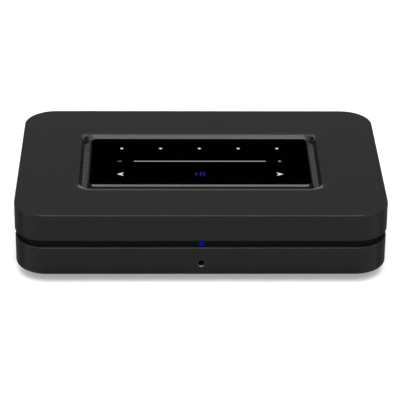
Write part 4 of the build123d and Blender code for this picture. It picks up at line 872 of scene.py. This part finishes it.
def ribbon(name, elevation, drop, reach, height, radiance):
    """A bent strip of light, in degrees: it has sunk by drop where its azimuth is DROP_AT."""
    work = bmesh.new()
    rows = []
    for step in range(RIBBON_STEPS + 1):
        azimuth = -reach + 2 * reach * step / RIBBON_STEPS
        middle = elevation - drop * (azimuth / DROP_AT) ** 2
        edges = (middle - height / 2, middle + height / 2)
        rows.append([work.verts.new(RIBBON_DISTANCE * toward(azimuth, edge)) for edge in edges])
    for row, following in zip(rows, rows[1:]):
        work.faces.new((row[0], following[0], following[1], row[1]))
    made, tree, place = material(f"{name}_light")
    close(tree, add(tree, "ShaderNodeEmission", {"Color": WHITE, "Strength": radiance}))
    for_gloss(name, work, made)
    print(name, "spans", 2 * reach, "degrees")


ribbon("high_ribbon", elevation=33.0, drop=24.0, reach=80.0, height=4.4, radiance=9.2)
ribbon("low_ribbon", elevation=14.0, drop=23.0, reach=50.0, height=4.0, radiance=5.2)

# %% [markdown]
# A lid that mirrors a white room looks grey, so cards stand round the case, and again only
# gloss sees them. A card is pale grey paper with a black gap between two heights, and the
# lid mirrors the gap. The nearer rear card serves the view of the camera, and the others
# serve the other sides. From behind, the lid mirrors the two ribbons too and looks paler,
# and from low behind so does the glass. Each card is made behind the case and turned to its
# side.

# %% Cards
CARD_LOW = 0.05


def card(name, turn, distance, half, high, gap, tone):
    """An upright sheet, turned about the case from its rear by a number of degrees."""
    work = bmesh.new()
    corners = [
        (-half, distance, CARD_LOW), (half, distance, CARD_LOW),
        (half, distance, high), (-half, distance, high),
    ]
    work.faces.new([work.verts.new(corner) for corner in corners])
    made, tree, place = material(f"{name}_paper")
    paper = paper_tones(tree, place, *tone)
    bright = beyond(tree, place, Z, (gap[1] - gap[0]) / 2, (gap[0] + gap[1]) / 2)
    close(tree, add(tree, "ShaderNodeEmission", {"Color": paper, "Strength": bright}))
    for_gloss(name, work, made).rotation_euler = (0, 0, math.radians(turn))
    print(name, "is black from", gap[0], "to", gap[1], "m")


card(
    "rear_card", turn=0, distance=1.1, half=2.2, high=1.9, gap=(0.49, 0.68),
    tone=("d4d4d4", "d8d8d8"),
)
for name, turn in (("left_card", 90), ("front_card", 180), ("right_card", 270)):
    card(
        name, turn=turn, distance=2.6, half=2.6, high=3.6, gap=(0.35, 1.6),
        tone=("a0a0a0", "a4a4a4"),
    )

# %% [markdown]
# The sides of the case mirror the floor beside it at a shallow angle and would turn pale. A
# photographer lays flags there: sheets of grey paper, here at the left, the right and the
# rear, and a narrow one in front that darkens the foot of the lower shell. Only gloss sees
# them too, so that the floor stays white.

# %% Flags on the floor
FLAG_GAP = 1.5 * MM
FLAG_REACH = 300 * MM
FLAG_HEIGHT = 0.5 * MM
FLAG_FRONT = -67 * MM
FRONT_REACH = 15 * MM
FRONT_INSET = 14 * MM

low_corner, high_corner = cad_box
left_side = low_corner[X] - FLAG_GAP
right_side = high_corner[X] + FLAG_GAP
rear = high_corner[Y] + FLAG_GAP
front = low_corner[Y] - FLAG_GAP
flags = (
    (left_side - FLAG_REACH, left_side, FLAG_FRONT, rear + FLAG_REACH),
    (right_side, right_side + FLAG_REACH, FLAG_FRONT, rear + FLAG_REACH),
    (left_side, right_side, rear, rear + FLAG_REACH),
    (left_side + FRONT_INSET, right_side - FRONT_INSET, front - FRONT_REACH, front),
)
work = bmesh.new()
for x0, x1, y0, y1 in flags:
    corners = [(x0, y0), (x1, y0), (x1, y1), (x0, y1)]
    work.faces.new([work.verts.new((x, y, FLAG_HEIGHT)) for x, y in corners])
flag_paper, tree, place = material("grey_flag_paper")
grey = paper_tones(tree, place, "909090", "949494")
close(tree, add(tree, "ShaderNodeEmission", {"Color": grey, "Strength": 1.0}))
for_gloss("flags", work, flag_paper)
print("flags:", len(flags))

# %% [markdown]
# A colour is to come out as it is written, so the view transform is the plain one.

# %% Finish
bpy.context.scene.view_settings.view_transform = "Standard"
